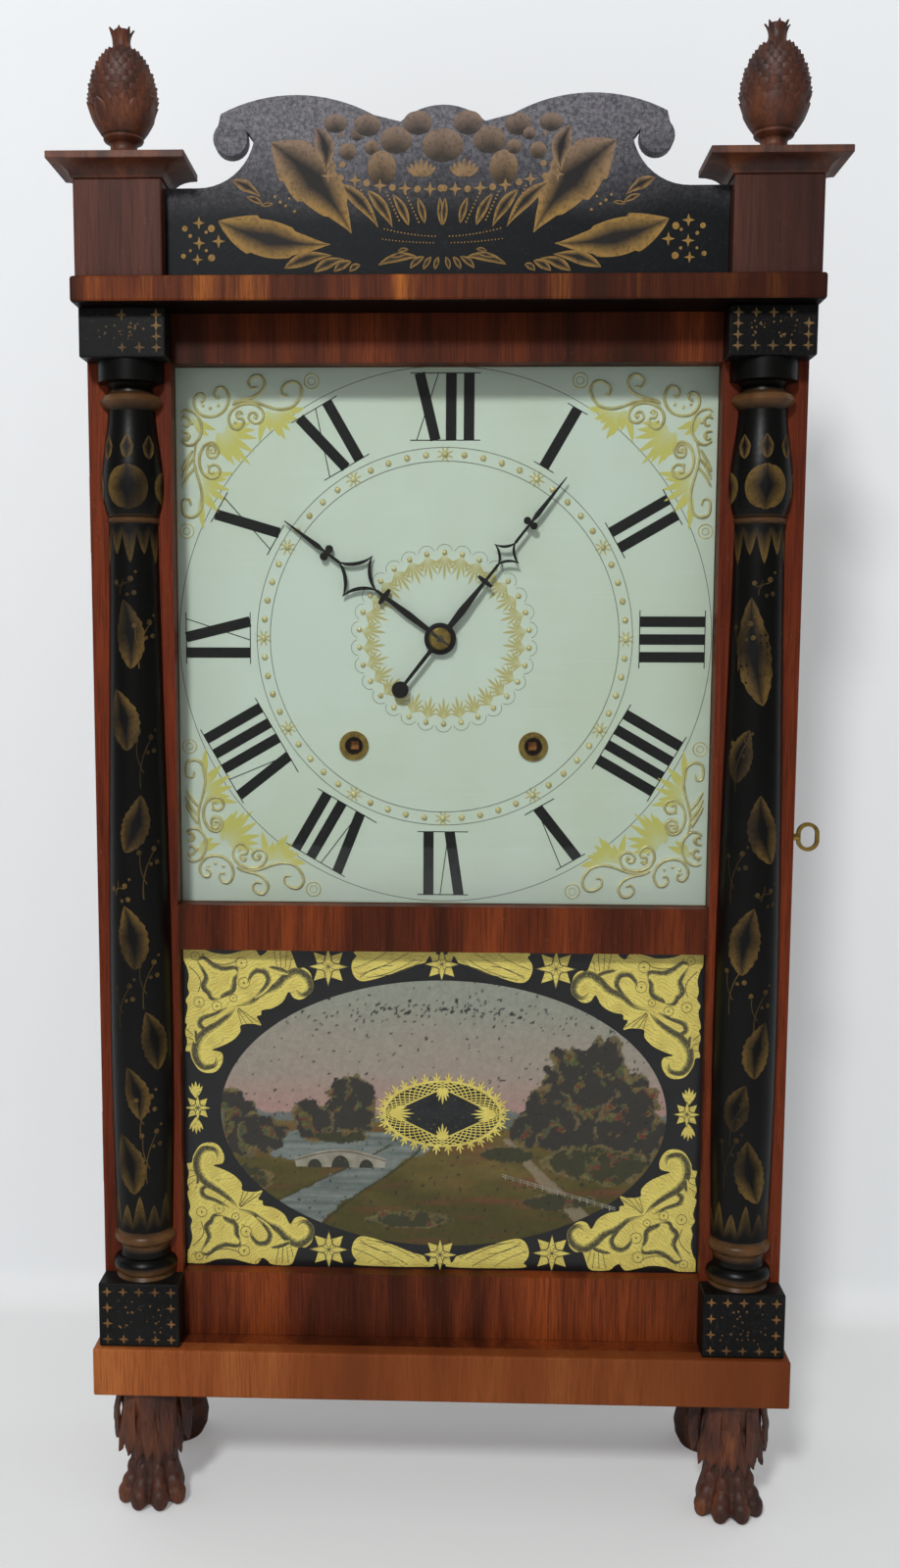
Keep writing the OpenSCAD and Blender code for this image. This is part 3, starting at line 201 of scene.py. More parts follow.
def woodFinish(name, look):
    dark, low = look["dark"], 0.5 - look["contrast"]
    f = Finish(name, Roughness=look["sheen"] + 0.16, Coat_Weight=0.05 if look["sheen"] < 0.45 else 0.0,
               Coat_Roughness=0.3, Specular_IOR_Level=look.get("shine", 0.09))
    stripes = f.cloud(look["stripe"], detail=3.5, rough=0.55, twist=0.7)
    broad = f.ramp(stripes, (low, dark), (0.5, look["mid"]), (1 - low, look["light"]))
    drift = f.cloud((9, 9, 7), detail=2)
    shaded = f.mix(f.ramp(drift, (0.35, 0.35), (0.65, 0.0)), broad, dark)
    fibre = f.cloud((900, 900, 32), detail=4, rough=0.7)
    grained = f.mix(f.ramp(fibre, (0.36, 0.55), (0.56, 0.0)), shaded, dark)
    dust = f.cloud((260, 260, 200), detail=4, rough=0.75)
    dusted = f.mix(f.ramp(dust, (0.62, 0.0), (0.8, 0.16)), grained, "#a98e78")
    across, height = f.split()[0], f.split()[2]
    # Painted shade: each wood darkens towards the right, where less light falls
    rightShade = f.ramp(f.sum("ADD", across, 0.5), (0.3, 0.0), (0.72, look.get("rightShadeDepth", 0.0)))
    # Painted shadow: the top of the top rail darkens under the cornice
    corniceShadow = f.ramp(height, (0.66, 0.0), (0.7, look.get("topShadowDepth", 0.0)))
    f.paint(f.sum("MAXIMUM", rightShade, corniceShadow), dusted, dark)
    f.bump(fibre, 0.16, 0.0002)
    return f.material


def blackPaint(name):
    # Japanned black, crazed and rubbed, with a bluish worn sheen
    f = Finish(name, Roughness=0.42, Coat_Weight=0.03, Coat_Roughness=0.3, Specular_IOR_Level=0.12)
    rubbed = f.cloud((420, 420, 420), detail=6, rough=0.8)
    weave = f.cloud((900, 900, 160), detail=3, rough=0.7)
    patches = f.cloud((16, 16, 12), detail=3)
    base = f.mix(f.ramp(patches, (0.4, 0.0), (0.65, 1.0)), "#0d0d0d", "#1a1b1a")
    worn = f.mix(f.ramp(rubbed, (0.56, 0.0), (0.78, 0.5)), base, "#4d4d4c")
    f.paint(f.ramp(weave, (0.6, 0.0), (0.85, 0.25)), worn, "#57534c")
    f.bump(f.mix(0.5, weave, rubbed), 0.35, 0.0003)
    return f.material


def plainMetal(name, colour, dull, rough, metallic=1.0, shine=0.5):
    f = Finish(name, Metallic=metallic, Roughness=rough, Specular_IOR_Level=shine)
    spots = f.cloud((160, 160, 160), detail=5, rough=0.7)
    f.paint(f.ramp(spots, (0.4, 0.0), (0.72, 1.0)), colour, dull)
    scratch = f.cloud((1400, 1400, 300), detail=3)
    f.bump(scratch, 0.12, 0.0001)
    return f.material


def matt(name, colour, other, scale, rough=0.8, grain=0.2):
    f = Finish(name, Roughness=rough)
    spots = f.cloud(scale, detail=5, rough=0.65)
    f.paint(f.ramp(spots, (0.35, 0.0), (0.7, 1.0)), colour, other)
    f.bump(spots, grain, 0.0003)
    return f.material


def dialPaint(name):
    f = Finish(name, Roughness=0.45, Specular_IOR_Level=0.25)
    stain = f.cloud((7, 7, 5), detail=4, rough=0.6)
    base = f.mix(f.ramp(stain, (0.42, 0.0), (0.72, 1.0)), "#d6ded2", "#ced4c0")
    brushed = f.cloud((10, 10, 420), detail=3, rough=0.6)
    streaked = f.mix(f.ramp(brushed, (0.52, 0.0), (0.7, 0.22)), base, "#dfe5dc")
    specks = f.cloud((520, 520, 520), detail=3)
    f.paint(f.ramp(specks, (0.73, 0.0), (0.8, 0.45)), streaked, "#8d8f7e")
    f.bump(brushed, 0.12, 0.0002)
    return f.material


def clearGlass(name):
    tint = (0.93, 0.965, 0.95, 1)
    f = Finish(name, Roughness=0.02, Transmission_Weight=1.0, IOR=1.45, Base_Color=tint)
    f.bump(f.cloud((14, 14, 9), detail=2), 0.08, 0.002)
    # Light for shadows and for matt surfaces goes straight through
    ray = f.add("ShaderNodeLightPath").outputs
    f.orClear(f.sum("MAXIMUM", ray["Is Shadow Ray"], ray["Is Diffuse Ray"]), tint)
    return f.material


otherFinishes = {
    "black_paint": (blackPaint,),
    "brass": (plainMetal, "#b99a50", "#7d6330", 0.3),
    "steel_wire": (plainMetal, "#8a857c", "#5d5850", 0.4),
    "iron": (plainMetal, "#34312e", "#4a4038", 0.55, 0.6),
    "hand_iron": (plainMetal, "#0d0c0b", "#161310", 0.5, 0.0, 0.12),
    "label_paper": (matt, "#cfc19a", "#b39f70", (24, 24, 24)),
    "cord": (matt, "#94876a", "#6f6348", (900, 900, 300), 0.9, 0.5),
    "dial_paint": (dialPaint,),
    "clear_glass": (clearGlass,),
    "painted_glass": (matt, "#0c0c0d", "#16171a", (60, 60, 60), 0.3, 0.05),
}
finishes = {slot: woodFinish(slot, look) for slot, look in woodLooks.items()}
for slot, (make, *values) in otherFinishes.items():
    finishes[slot] = make(slot, *values)


def dress(obj, finish):
    obj.data.materials.clear()
    obj.data.materials.append(finish)


for name, obj in nodes.items():
    dress(obj, finishes[slotOf[name]])
dress(nodes["case_floor"], finishes["rail_wood"])
print("finishes made:", len(finishes))


def linked(name, bm):
    # A mesh that is already in place becomes an object of the scene
    mesh = bpy.data.meshes.new(name)
    bm.to_mesh(mesh)
    bm.free()
    made = bpy.data.objects.new(name, mesh)
    bpy.context.scene.collection.objects.link(made)
    return made


def finishPiece(bm, name, body, finish, slot, smooth=None, replaced=()):
    # A piece with its finish, which rides a body and may stand for nodes; edges over the angle stay sharp
    piece = linked(name, bm)
    piece.data.materials.append(finish)
    if smooth is not None:
        piece.data.shade_smooth()
        piece.data.set_sharp_from_angle(angle=math.radians(smooth))
    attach(piece, body)
    if replaced:
        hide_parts(*replaced)
    return piece


def softened(node, width):
    # A copy of a board or a block whose arrises are rubbed round
    bm = bmesh.new()
    bm.from_mesh(nodes[node].data)
    bmesh.ops.remove_doubles(bm, verts=bm.verts, dist=1e-6)
    bmesh.ops.dissolve_limit(bm, angle_limit=math.radians(0.5), verts=bm.verts, edges=bm.edges)
    edges = [e for e in bm.edges if len(e.link_faces) == 2 and e.calc_face_angle(0) > math.radians(25)]
    bmesh.ops.bevel(bm, geom=edges, offset=width * mm, offset_type="OFFSET", affect="EDGES",
                    segments=2, profile=0.5, material=-1, clamp_overlap=True)
    return finishPiece(bm, node + "_rubbed", bodyOf[node], finishes[slotOf[node]], slotOf[node], 20, [node])


# Radius of the rubbed arrises of each node, in mm
softEdges = {"cornice_board": 1.6, "plinth": 1.2, "finial_blocks": 0.9, "block_caps": 0.7,
             "column_blocks": 0.9, "splat": 0.9, "side_left": 1.0, "side_right": 1.0}
for node, width in softEdges.items():
    softened(node, width)
# Painted shade: the cornice's underside, which faces down, gets a near-black copy of the cornice wood
soffitShadeLook = dict(woodLooks["cornice_wood"], dark="#080403", mid="#140a06", light="#1d0f08")
cornice = bpy.data.objects["cornice_board_rubbed"].data
cornice.materials.append(woodFinish("soffit_painted_shade", soffitShadeLook))
for face in cornice.polygons:
    if face.normal.z < -0.9:
        face.material_index = 1
print("boards rubbed:", len(softEdges))


# The joint that shortens each fall of cord
cordLook = {"time_cord_fall": "time_weight_rise", "strike_cord_fall": "strike_weight_rise"}


def makeFalls(look):
    # Each fall of cord is copied into a piece of its own, with its own mesh and the cord finish
    for node, joint in look.items():
        bm = bmesh.new()
        bm.from_mesh(nodes[node].data)
        piece = finishPiece(bm, node + "_cord", bodyOf[node], finishes["cord"], slotOf[node], 35, [node])
        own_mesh(piece)


makeFalls(cordLook)
print("falls of cord made:", len(cordLook))


# Pineapples: outlines of the turned foot and of the egg over it, as (radius, height) in mm
finialLook = {"axisX": 180.4, "axisY": -49.0, "rows": 8, "perRow": 15, "leaves": 11, "crown": 7,
              "scalesFrom": 17.5, "scalesRise": 29,
              "foot": [(0, 0), (10.6, 0), (11, 0.8), (10.7, 2.4), (9.4, 3.4), (8.2, 4.2), (7.4, 6), (7.4, 8),
                       (8.4, 9.6), (10.6, 10.6), (11.2, 11.6), (10.8, 12.6), (11.2, 13.5)],
              "egg": [(11.6, 0), (14.6, 4), (17.2, 9), (18.2, 15), (18.3, 21), (17.4, 27), (15.6, 33),
                      (13.2, 38), (10.4, 42), (7.2, 45), (5.2, 47)],
              "neck": [(5.0, 48), (4.6, 50), (5.0, 54)], "scale": (1.12, 6.8, 2.3), "scaleTip": 1.5,
              "leafRows": ((0, 16.0), (0.5, 18.6))}


def radiusAt(outline, z):
    for (r0, z0), (r1, z1) in zip(outline, outline[1:]):
        if z <= z1:
            return r0 + (r1 - r0) * (z - z0) / (z1 - z0)
    return outline[-1][0]


def onRound(centre, r, turn, z):
    # A point round an upright axis, from the front to the right
    return Vector((centre[0] + r * math.sin(turn), centre[1] - r * math.cos(turn), z)) * mm


def spun(bm, outline, centre, steps):
    # Spins an outline of (radius, height) in mm round an upright axis
    verts = [bm.verts.new((centre[0] * mm + r * mm, centre[1] * mm, z * mm)) for r, z in outline]
    edges = [bm.edges.new(pair) for pair in zip(verts, verts[1:])]
    bmesh.ops.spin(bm, geom=verts + edges, cent=(centre[0] * mm, centre[1] * mm, 0), axis=(0, 0, 1),
                   angle=2 * math.pi, steps=steps, use_merge=True, use_duplicate=False)
    bmesh.ops.remove_doubles(bm, verts=bm.verts, dist=1e-6)


def tapered(bm, low, high, w0, w1, t0, t1, centre, angle, bulge=0.0, lines=5, across=4, curl=0.0):
    # A carved leaf on a round form: low and high are (radius, height), w are widths and t thicknesses;
    # it bulges and its tip curls outwards
    made = bmesh.ops.create_grid(bm, x_segments=across, y_segments=lines, size=0.5)["verts"]
    for v in made:
        s, t = v.co.x * 2, v.co.y + 0.5
        width = (w0 + (w1 - w0) * t) * (1 - max(0, (t - 0.55) / 0.45) ** 2.2)
        thick = (t0 + (t1 - t0) * t) * (1 - 0.75 * s * s) * (1 - 0.5 * math.exp(-(s * 6) ** 2) * (1 - t))
        r = low[0] + (high[0] - low[0]) * t + thick
        r += bulge * math.sin(math.pi * t) + curl * max(0, t - 0.6) ** 2
        v.co = onRound(centre, r, angle + s * width / 2 / max(r, 1), low[1] + (high[1] - low[1]) * t)
    return made


def closeSheets(bm, thickness):
    # Gives open sheets a back, so that every carved leaf is a closed form
    bmesh.ops.remove_doubles(bm, verts=bm.verts, dist=1e-7)
    bmesh.ops.recalc_face_normals(bm, faces=bm.faces)
    bmesh.ops.solidify(bm, geom=bm.faces[:], thickness=thickness * mm)
    bmesh.ops.recalc_face_normals(bm, faces=bm.faces)


def copyInto(bm, other):
    mesh = bpy.data.meshes.new("part")
    other.to_mesh(mesh)
    other.free()
    bm.from_mesh(mesh)
    bpy.data.meshes.remove(mesh)


def makeFinials(look):
    base, top = (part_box("finials")[i].z / mm for i in (0, 1))
    body = base + look["foot"][-1][1]
    whole = bmesh.new()
    for side in (-1, 1):
        centre = (side * look["axisX"], look["axisY"])
        bm = bmesh.new()
        turned = [(r, base + z) for r, z in look["foot"]]
        egg = [(radiusAt(look["egg"], k), body + k) for k in range(0, 48, 3)]
        crown = [(r, body + z) for r, z in look["neck"]] + [(4.4, top - 1.2), (0, top - 1.0)]
        spun(bm, turned + egg + crown, centre, 36)
        bmesh.ops.recalc_face_normals(bm, faces=bm.faces)
        for row in range(look["rows"]):
            k = look["scalesFrom"] + look["scalesRise"] * row / look["rows"]
            under, r, over = (radiusAt(look["egg"], k + step) for step in (-2, 0, 2))
            lean = math.pi / 2 + math.atan2(over - under, 4)
            wide = 2 * math.pi * r / look["perRow"]
            for i in range(look["perRow"]):
                a = 2 * math.pi * (i + 0.5 * (row % 2)) / look["perRow"]
                seat = Matrix.Translation(onRound(centre, r - 0.5, a, body + k))
                made = bmesh.ops.create_cone(bm, segments=6, radius1=0.5, radius2=0.0, depth=1.0)["verts"]
                lap, long, high = look["scale"]
                for v in made:
                    tip = look["scaleTip"] if v.co.z > 0 else 0
                    v.co = Vector((v.co.x * wide * lap, v.co.y * long + tip, (v.co.z + 0.5) * high)) * mm
                turned = Matrix.Rotation(a, 4, "Z") @ Matrix.Rotation(lean, 4, "X")
                bmesh.ops.transform(bm, matrix=seat @ turned, verts=made)
        leaves = bmesh.new()
        for layer, (shift, rise) in enumerate(look["leafRows"]):
            for i in range(look["leaves"]):
                a = 2 * math.pi * (i + shift) / look["leaves"]
                tapered(leaves, (11.2, body + 0.5), (17.8 - layer * 0.7, body + rise), 6.6, 10.6, 0.5, 1.0,
                        centre, a, 1.3, 7, 6, 5)
        for i in range(look["crown"]):
            a = 2 * math.pi * i / look["crown"]
            tapered(leaves, (4.2, body + 46.5), (6.0, top - 0.6), 3.4, 4.4, 0.4, 0.3,
                    centre, a, -0.6, 5, 4, 6)
        closeSheets(leaves, 0.8)
        copyInto(bm, leaves)
        copyInto(whole, bm)
    finishPiece(whole, "finials_carved", "case", finishes["carved_wood"], "carved_wood", 40, ["finials"])


makeFinials(finialLook)
print("finials carved")


# Paw feet: the ankle as (radius, height); each toe's joints as the way out, the height and the half sizes;
# the leaves as angle, radius and drop at the top, radius and height at the tip, both widths and the bulge
footLook = {"axisX": 179, "axisY": -31, "toes": (-58, -20, 20, 58), "voxel": 0.9,
            "ankle": [(0, 1.5), (15, 1.5), (18, 4), (18.6, 9), (17, 15), (15.2, 21), (14.4, 28), (14.8, 36),
                      (17, 50), (19, 62)],
            "toe": [(10.5, 28, (4.0, 4.6, 9.0)), (12.0, 20, (4.8, 5.6, 9.0)), (14.8, 12.5, (5.8, 6.6, 7.6)),
                    (17.6, 7.2, (6.3, 6.4, 6.9)), (19.8, 4.4, (4.6, 4.0, 4.3))],
            "leaves": [(0, 17.6, 0, 18.6, 33.5, 8, 13, 1.5), (38, 18.6, 0, 18.8, 34.5, 10, 15, 2.2),
                       (78, 19.4, 0, 20.6, 40, 13, 17, 3.0), (120, 19, 0, 19, 38, 14, 17, 2),
                       (180, 19, 0, 18, 36, 14, 17, 1.5), (19, 17, 14, 19.4, 32, 5, 10, 1),
                       (57, 18, 10, 20.4, 35, 6, 11, 1.5)]}


def addBlob(bm, centre, size, spin, tilt):
    made = bmesh.ops.create_uvsphere(bm, u_segments=16, v_segments=10, radius=1.0)["verts"]
    turned = Matrix.Rotation(spin, 4, "Z") @ Matrix.Rotation(tilt, 4, "X")
    matrix = Matrix.Translation(centre) @ turned @ Matrix.Diagonal((*size, 1))
    bmesh.ops.transform(bm, matrix=matrix, verts=made)


def blended(bm, voxel):
    # Forms that overlap become one soft skin
    core = linked("foot_core", bm)
    remesh = core.modifiers.new("remesh", "REMESH")
    remesh.mode, remesh.voxel_size = "VOXEL", voxel * mm
    soften = core.modifiers.new("smooth", "SMOOTH")
    soften.factor, soften.iterations = 0.6, 3
    bpy.context.view_layer.update()
    settled = bpy.data.meshes.new_from_object(core.evaluated_get(bpy.context.evaluated_depsgraph_get()))
    bpy.data.objects.remove(core)
    skin = bmesh.new()
    skin.from_mesh(settled)
    bpy.data.meshes.remove(settled)
    return skin


def makePaw(look, topZ):
    # An ankle that spreads into four toes with knuckles and blunt claws
    bm = bmesh.new()
    spun(bm, look["ankle"] + [(20, topZ), (0, topZ)], (0, 0), 32)
    for angle in look["toes"]:
        a = math.radians(angle)
        for along, low, size in look["toe"]:
            addBlob(bm, onRound((0, 0), along, a, low), [c * mm for c in size], a, 0.35)
    for v in bm.verts:
        v.co.z = max(v.co.z, 0.0)
    return blended(bm, look["voxel"])


def makeAcanthus(look, topZ):
    # Long side leaves from the top, then a lower skirt of shorter ones
    bm = bmesh.new()
    for angle, r0, below, r1, z1, w0, w1, out in look["leaves"]:
        for turn in ((-angle, angle) if angle % 180 else (angle,)):
            for v in tapered(bm, (r0, topZ - below), (r1, z1), w0, w1, 1.0, 2.2, (0, 0), math.radians(turn),
                             out, 16, 8, 6):
                rib = math.sin(math.atan2(v.co.x, -v.co.y) * 46 + v.co.z * 300)
                v.co.x *= 1 + 0.018 * rib
                v.co.y *= 1 + 0.018 * rib
                v.co.z += 0.5 * mm * math.sin(v.co.z / mm * 0.9)
                v.co.z = min(v.co.z, topZ * mm)
    closeSheets(bm, 1.6)
    return bm


def makeFeet(look):
    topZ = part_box("front_feet")[1].z / mm
    whole = bmesh.new()
    for side in (-1, 1):
        bm = makePaw(look, topZ)
        copyInto(bm, makeAcanthus(look, topZ))
        for v in bm.verts:
            v.co.z = min(v.co.z, topZ * mm)
        bmesh.ops.translate(bm, vec=(side * look["axisX"] * mm, look["axisY"] * mm, 0), verts=bm.verts)
        copyInto(whole, bm)
    wood = "carved_wood"
    finishPiece(whole, "front_feet_carved", "case", finishes[wood], wood, 50, ["front_feet"])


makeFeet(footLook)
print("feet carved")


def onFace(face):
    # A place on an upright front face: across, up and out of it, in mm
    return lambda a, b, h=0.0: Vector((a * mm, face - h * mm, b * mm))


def above(place, step=0.13):
    # The same place, one layer of paint further out
    return lambda a, b, h=0.0: place(a, b, h + step)


def onRing(centre, r, turn):
    # A point on a circle, by its turn in degrees from the right and upwards
    return (centre[0] + r * math.cos(math.radians(turn)), centre[1] + r * math.sin(math.radians(turn)))


def lifted(bm):
    # Pieces that overlap lie a hair apart
    return 0.004 * (len(bm.verts) * 7 % 31)


def strip(bm, path, width, place, along=8, across=2, rise=None):
    # A ribbon that follows path(t); its half width is a number or width(t), and rise(t, s) lifts it
    bm.loops.layers.uv.verify()
    lift = lifted(bm)
    half = width if callable(width) else lambda t: width
    for v in bmesh.ops.create_grid(bm, x_segments=along, y_segments=across, size=0.5, calc_uvs=True)["verts"]:
        t, s = v.co.x + 0.5, v.co.y * 2
        way = Vector(path(min(1, t + 0.004))) - Vector(path(max(0, t - 0.004)))
        way = way.normalized() if way.length > 1e-9 else Vector((0, 1))
        spot = Vector(path(t)) + Vector((-way.y, way.x)) * half(t) * s
        v.co = place(spot.x, spot.y, lift + (rise(t, s) if rise else 0.0))


def sealed(bm, thickness):
    # Ornament becomes closed: its back lies a little inside what carries it
    bmesh.ops.remove_doubles(bm, verts=bm.verts, dist=1e-6)
    bmesh.ops.dissolve_degenerate(bm, edges=bm.edges, dist=1e-7)
    bmesh.ops.delete(bm, geom=[v for v in bm.verts if not v.link_faces], context="VERTS")
    out = Vector((0, -1, 0))
    bm.normal_update()
    bmesh.ops.reverse_faces(bm, faces=[f for f in bm.faces if f.normal.dot(out) < 0])
    front = bm.faces[:]
    made = bmesh.ops.extrude_face_region(bm, geom=front)
    moved = [g for g in made["geom"] if isinstance(g, bmesh.types.BMVert)]
    bmesh.ops.translate(bm, vec=out * thickness * mm, verts=moved)
    bmesh.ops.translate(bm, vec=-out * (thickness - 0.06) * mm, verts=bm.verts)
    bmesh.ops.reverse_faces(bm, faces=[f for f in front if f.is_valid])


def laid(bm, name, body, finish, slot, thickness=0.1, smooth=None):
    # A sheet of ornament becomes a closed piece
    sealed(bm, thickness)
    return finishPiece(bm, name, body, finish, slot, smooth)


def straight(p, q):
    return lambda t: (p[0] + (q[0] - p[0]) * t, p[1] + (q[1] - p[1]) * t)


def bowed(p, q, sag):
    # A curve from p to q that bows to its left by sag
    p, q = Vector(p), Vector(q)
    normal = Vector((-(q - p).y, (q - p).x)).normalized()
    return lambda t: tuple(p + (q - p) * t + normal * sag * 4 * t * (1 - t))


def coil(centre, r0, r1, a0, a1):
    return lambda t: onRing(centre, r0 + (r1 - r0) * t, a0 + (a1 - a0) * t)


def ring(centre, r):
    return coil(centre, r, r, 0, 360)


def through(points):
    # A smooth path through the given points
    pts = [points[0]] + list(points) + [points[-1]]

    def path(t):
        k = min(int(t * (len(points) - 1)), len(points) - 2)
        u = t * (len(points) - 1) - k
        p0, p1, p2, p3 = pts[k:k + 4]
        return tuple(0.5 * (2 * b + (c - a) * u + (2 * a - 5 * b + 4 * c - d) * u * u
                            + (3 * b - a - 3 * c + d) * u ** 3)
                     for a, b, c, d in zip(p0, p1, p2, p3))
    return path


def serrated(half, teeth, depth=0.16, belly=0.85):
    # Half widths of a leaf whose edge is cut into scallops
    return lambda t: (half * max(0.02, math.sin(math.pi * t ** belly) ** 0.8)
                      * (1 - depth * ((t * teeth) % 1.0)))


def leaf(bm, place, base, tip, half, teeth=9, bow=0.0, along=27, belly=0.85):
    strip(bm, bowed(base, tip, bow), serrated(half, teeth, 0.16, belly), place, along, 6)


def drop(bm, place, base, angle, length, half, along=6, across=2, bow=0.0):
    # A teardrop that starts thin at its base
    strip(bm, bowed(base, onRing(base, length, angle), bow),
          lambda t: half * math.sin(math.pi * min(1, t * 0.93 + 0.07)) ** 0.8 * (0.35 + 0.65 * t), place,
          along, across)


def star(bm, place, centre, outer, inner, points, turn=90.0):
    lift = lifted(bm)
    made = bmesh.ops.create_circle(bm, cap_ends=True, cap_tris=True, segments=points * 2, radius=1.0)["verts"]
    rim = [v for v in made if v.co.length > 0.5]
    rim.sort(key=lambda v: math.atan2(v.co.y, v.co.x))
    for i, v in enumerate(rim):
        v.co = place(*onRing(centre, inner if i % 2 else outer, turn + 180 * i / points), lift)
    for v in made:
        if v not in rim:
            v.co = place(*centre, lift)


def fourStar(bm, place, centre, size):
    star(bm, place, centre, size, size * 0.33, 4)


def ball(bm, place, centre, radius):
    for v in bmesh.ops.create_icosphere(bm, subdivisions=2, radius=1.0)["verts"]:
        x, y, z = v.co * radius
        v.co = place(centre[0] + x, centre[1] + y, z * 0.8)


def disc(bm, place, centre, radius, segments=20):
    lift = lifted(bm)
    for v in bmesh.ops.create_circle(bm, cap_ends=True, segments=segments, radius=radius)["verts"]:
        v.co = place(centre[0] + v.co.x, centre[1] + v.co.y, lift)


dialLook = {"middle": (0.0, 538.0), "hands": (-2.3, 538.0), "outer": 160.5, "numeralLow": 117.5,
            "numeralHigh": 156.5, "stroke": 3.15, "hair": 0.28, "ringIn": 105.3, "ringOut": 113.3,
            "dots": 109.3, "dot": 1.95, "hourRay": 5.4, "wreath": 51.5, "wreathBall": 1.7, "scallop": 4.9,
            "palmette": (8.0, 10.5, 12.5, 15.0, 12.5, 10.5, 8.0),
            "gold": "#dbd09a", "leaf": "#cfc56c", "ink": "#171716", "line": "#6f7168"}
onDial = onFace(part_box("dial_board")[0].y)


def inkFinish(name, colour, worn, wear=0.25):
    f = Finish(name, Roughness=0.6, Specular_IOR_Level=0.08)
    chips = f.cloud((700, 700, 700), detail=4, rough=0.7)
    f.paint(f.ramp(chips, (0.6, 0.0), (0.8, wear)), colour, worn)
    return f.material


def goldPaint(name, light, deep, metallic=0.35, rough=0.36):
    f = Finish(name, Metallic=metallic, Roughness=rough)
    tone = f.cloud((120, 120, 120), detail=4, rough=0.6)
    fine = f.cloud((900, 900, 900), detail=2)
    f.paint(f.ramp(tone, (0.35, 0.0), (0.7, 1.0)), light, deep)
    f.bump(fine, 0.15, 0.0001)
    return f.material


def washFinish(name, colour, under, low=0.2, high=0.8):
    # A thin wash that fades along each stroke, by its own UV map
    f = Finish(name, Roughness=0.5, Specular_IOR_Level=0.2)
    along = f.stroke()[0]
    blotch = f.cloud((90, 90, 90), detail=3)
    f.paint(f.ramp(f.sum("MULTIPLY", along, f.sum("ADD", blotch, 0.5)), (low, 0.15), (high, 1.0)), under,
            colour)
    return f.material


gessoGold = goldPaint("gesso_gold", dialLook["gold"], "#b3a269", 0.05)
leafWash = washFinish("leaf_wash", dialLook["leaf"], "#d0d1a4", 0.05, 0.5)
numerals = ["XII", "I", "II", "III", "IIII", "V", "VI", "VII", "VIII", "IX", "X", "XI"]
# Strokes of each sign as side, foot or head of both ends and whether it is a thick one, and its advance
numeralStrokes = {"I": [(0, 0, 0, 1, True)], "V": [(-4.6, 1, 1.2, 0, True), (6.8, 1, 1.8, 0, False)],
                  "X": [(-4.8, 1, 4.8, 0, True), (6.4, 1, -6.4, 0, False)]}
numeralAdvance = {"I": 10.6, "V": 17.5, "X": 17.5}


def makeNumerals(look):
    cx, cz = look["middle"]
    ends = (look["numeralLow"], look["numeralHigh"])
    bm = bmesh.new()
    for hour, signs in enumerate(numerals):
        a = math.radians(30 * hour)

        def stroke(u0, r0, u1, r1, half, a=a):
            spots = [(cx + r * math.sin(a) + u * math.cos(a), cz + r * math.cos(a) - u * math.sin(a))
                     for u, r in ((u0, r0), (u1, r1))]
            strip(bm, straight(*spots), half, onDial, 1, 1)
        total = sum(numeralAdvance[sign] for sign in signs)
        u = -total / 2
        for sign in signs:
            mid = u + numeralAdvance[sign] / 2
            for u0, end0, u1, end1, thick in numeralStrokes[sign]:
                stroke(mid + u0, ends[end0], mid + u1, ends[end1], look["stroke" if thick else "hair"])
            u += numeralAdvance[sign]
        for r in ends:
            stroke(-total / 2 - 1.5, r, total / 2 + 1.5, r, look["hair"])
    laid(bm, "dial_numerals", "case", inkFinish("numeral_ink", look["ink"], "#4a4843"), "dial_paint", 0.25)


def makeLines(look):
    bm = bmesh.new()
    for r, half in ((look["outer"], 0.22), (look["ringIn"], 0.2), (look["ringOut"], 0.2)):
        strip(bm, ring(look["middle"], r), half, onDial, 180, 1)
    for i in range(30):
        turn = 12 * i + 90
        foot, r = onRing(look["middle"], look["wreath"], turn), look["scallop"]
        strip(bm, coil(foot, r, r, turn - 78, turn + 78), 0.14, onDial, 10, 1)
    laid(bm, "dial_lines", "case", inkFinish("line_ink", look["line"], "#9fa498", 0.6), "dial_paint", 0.25)


def makeDots(look):
    middle = look["middle"]
    bm = bmesh.new()
    for i in range(60):
        ball(bm, onDial, onRing(middle, look["dots"], 90 - 6 * i), look["dot"])
    for i in range(30):
        ball(bm, onDial, onRing(middle, look["wreath"], 90 - 12 * i), look["wreathBall"])
    finishPiece(bm, "dial_dots", "case", gessoGold, "dial_paint", 60)
    bm = bmesh.new()
    # Rays round the dots at the hours, then the wreath's palmettes, which point inwards
    for hour in range(12):
        for k in range(8):
            drop(bm, onDial, onRing(middle, look["dots"], 90 - 30 * hour), 45 * k + 22, look["hourRay"],
                 0.8, 4, 2)
    for i in range(30):
        x, z = onRing(middle, look["wreath"] - 1.4, 90 - 12 * i)
        for k, length in zip(range(-3, 4), look["palmette"]):
            half = 1.0 if k else 1.3
            drop(bm, onDial, (x + k * 0.25, z), 270 - 12 * i + k * 17, length, half, 5, 2, -k * 0.35)
    wash = washFinish("wreath_wash", "#c0b377", "#d3d4b2", 0.05, 0.5)
    laid(bm, "dial_wreath", "case", wash, "dial_paint", 0.25)


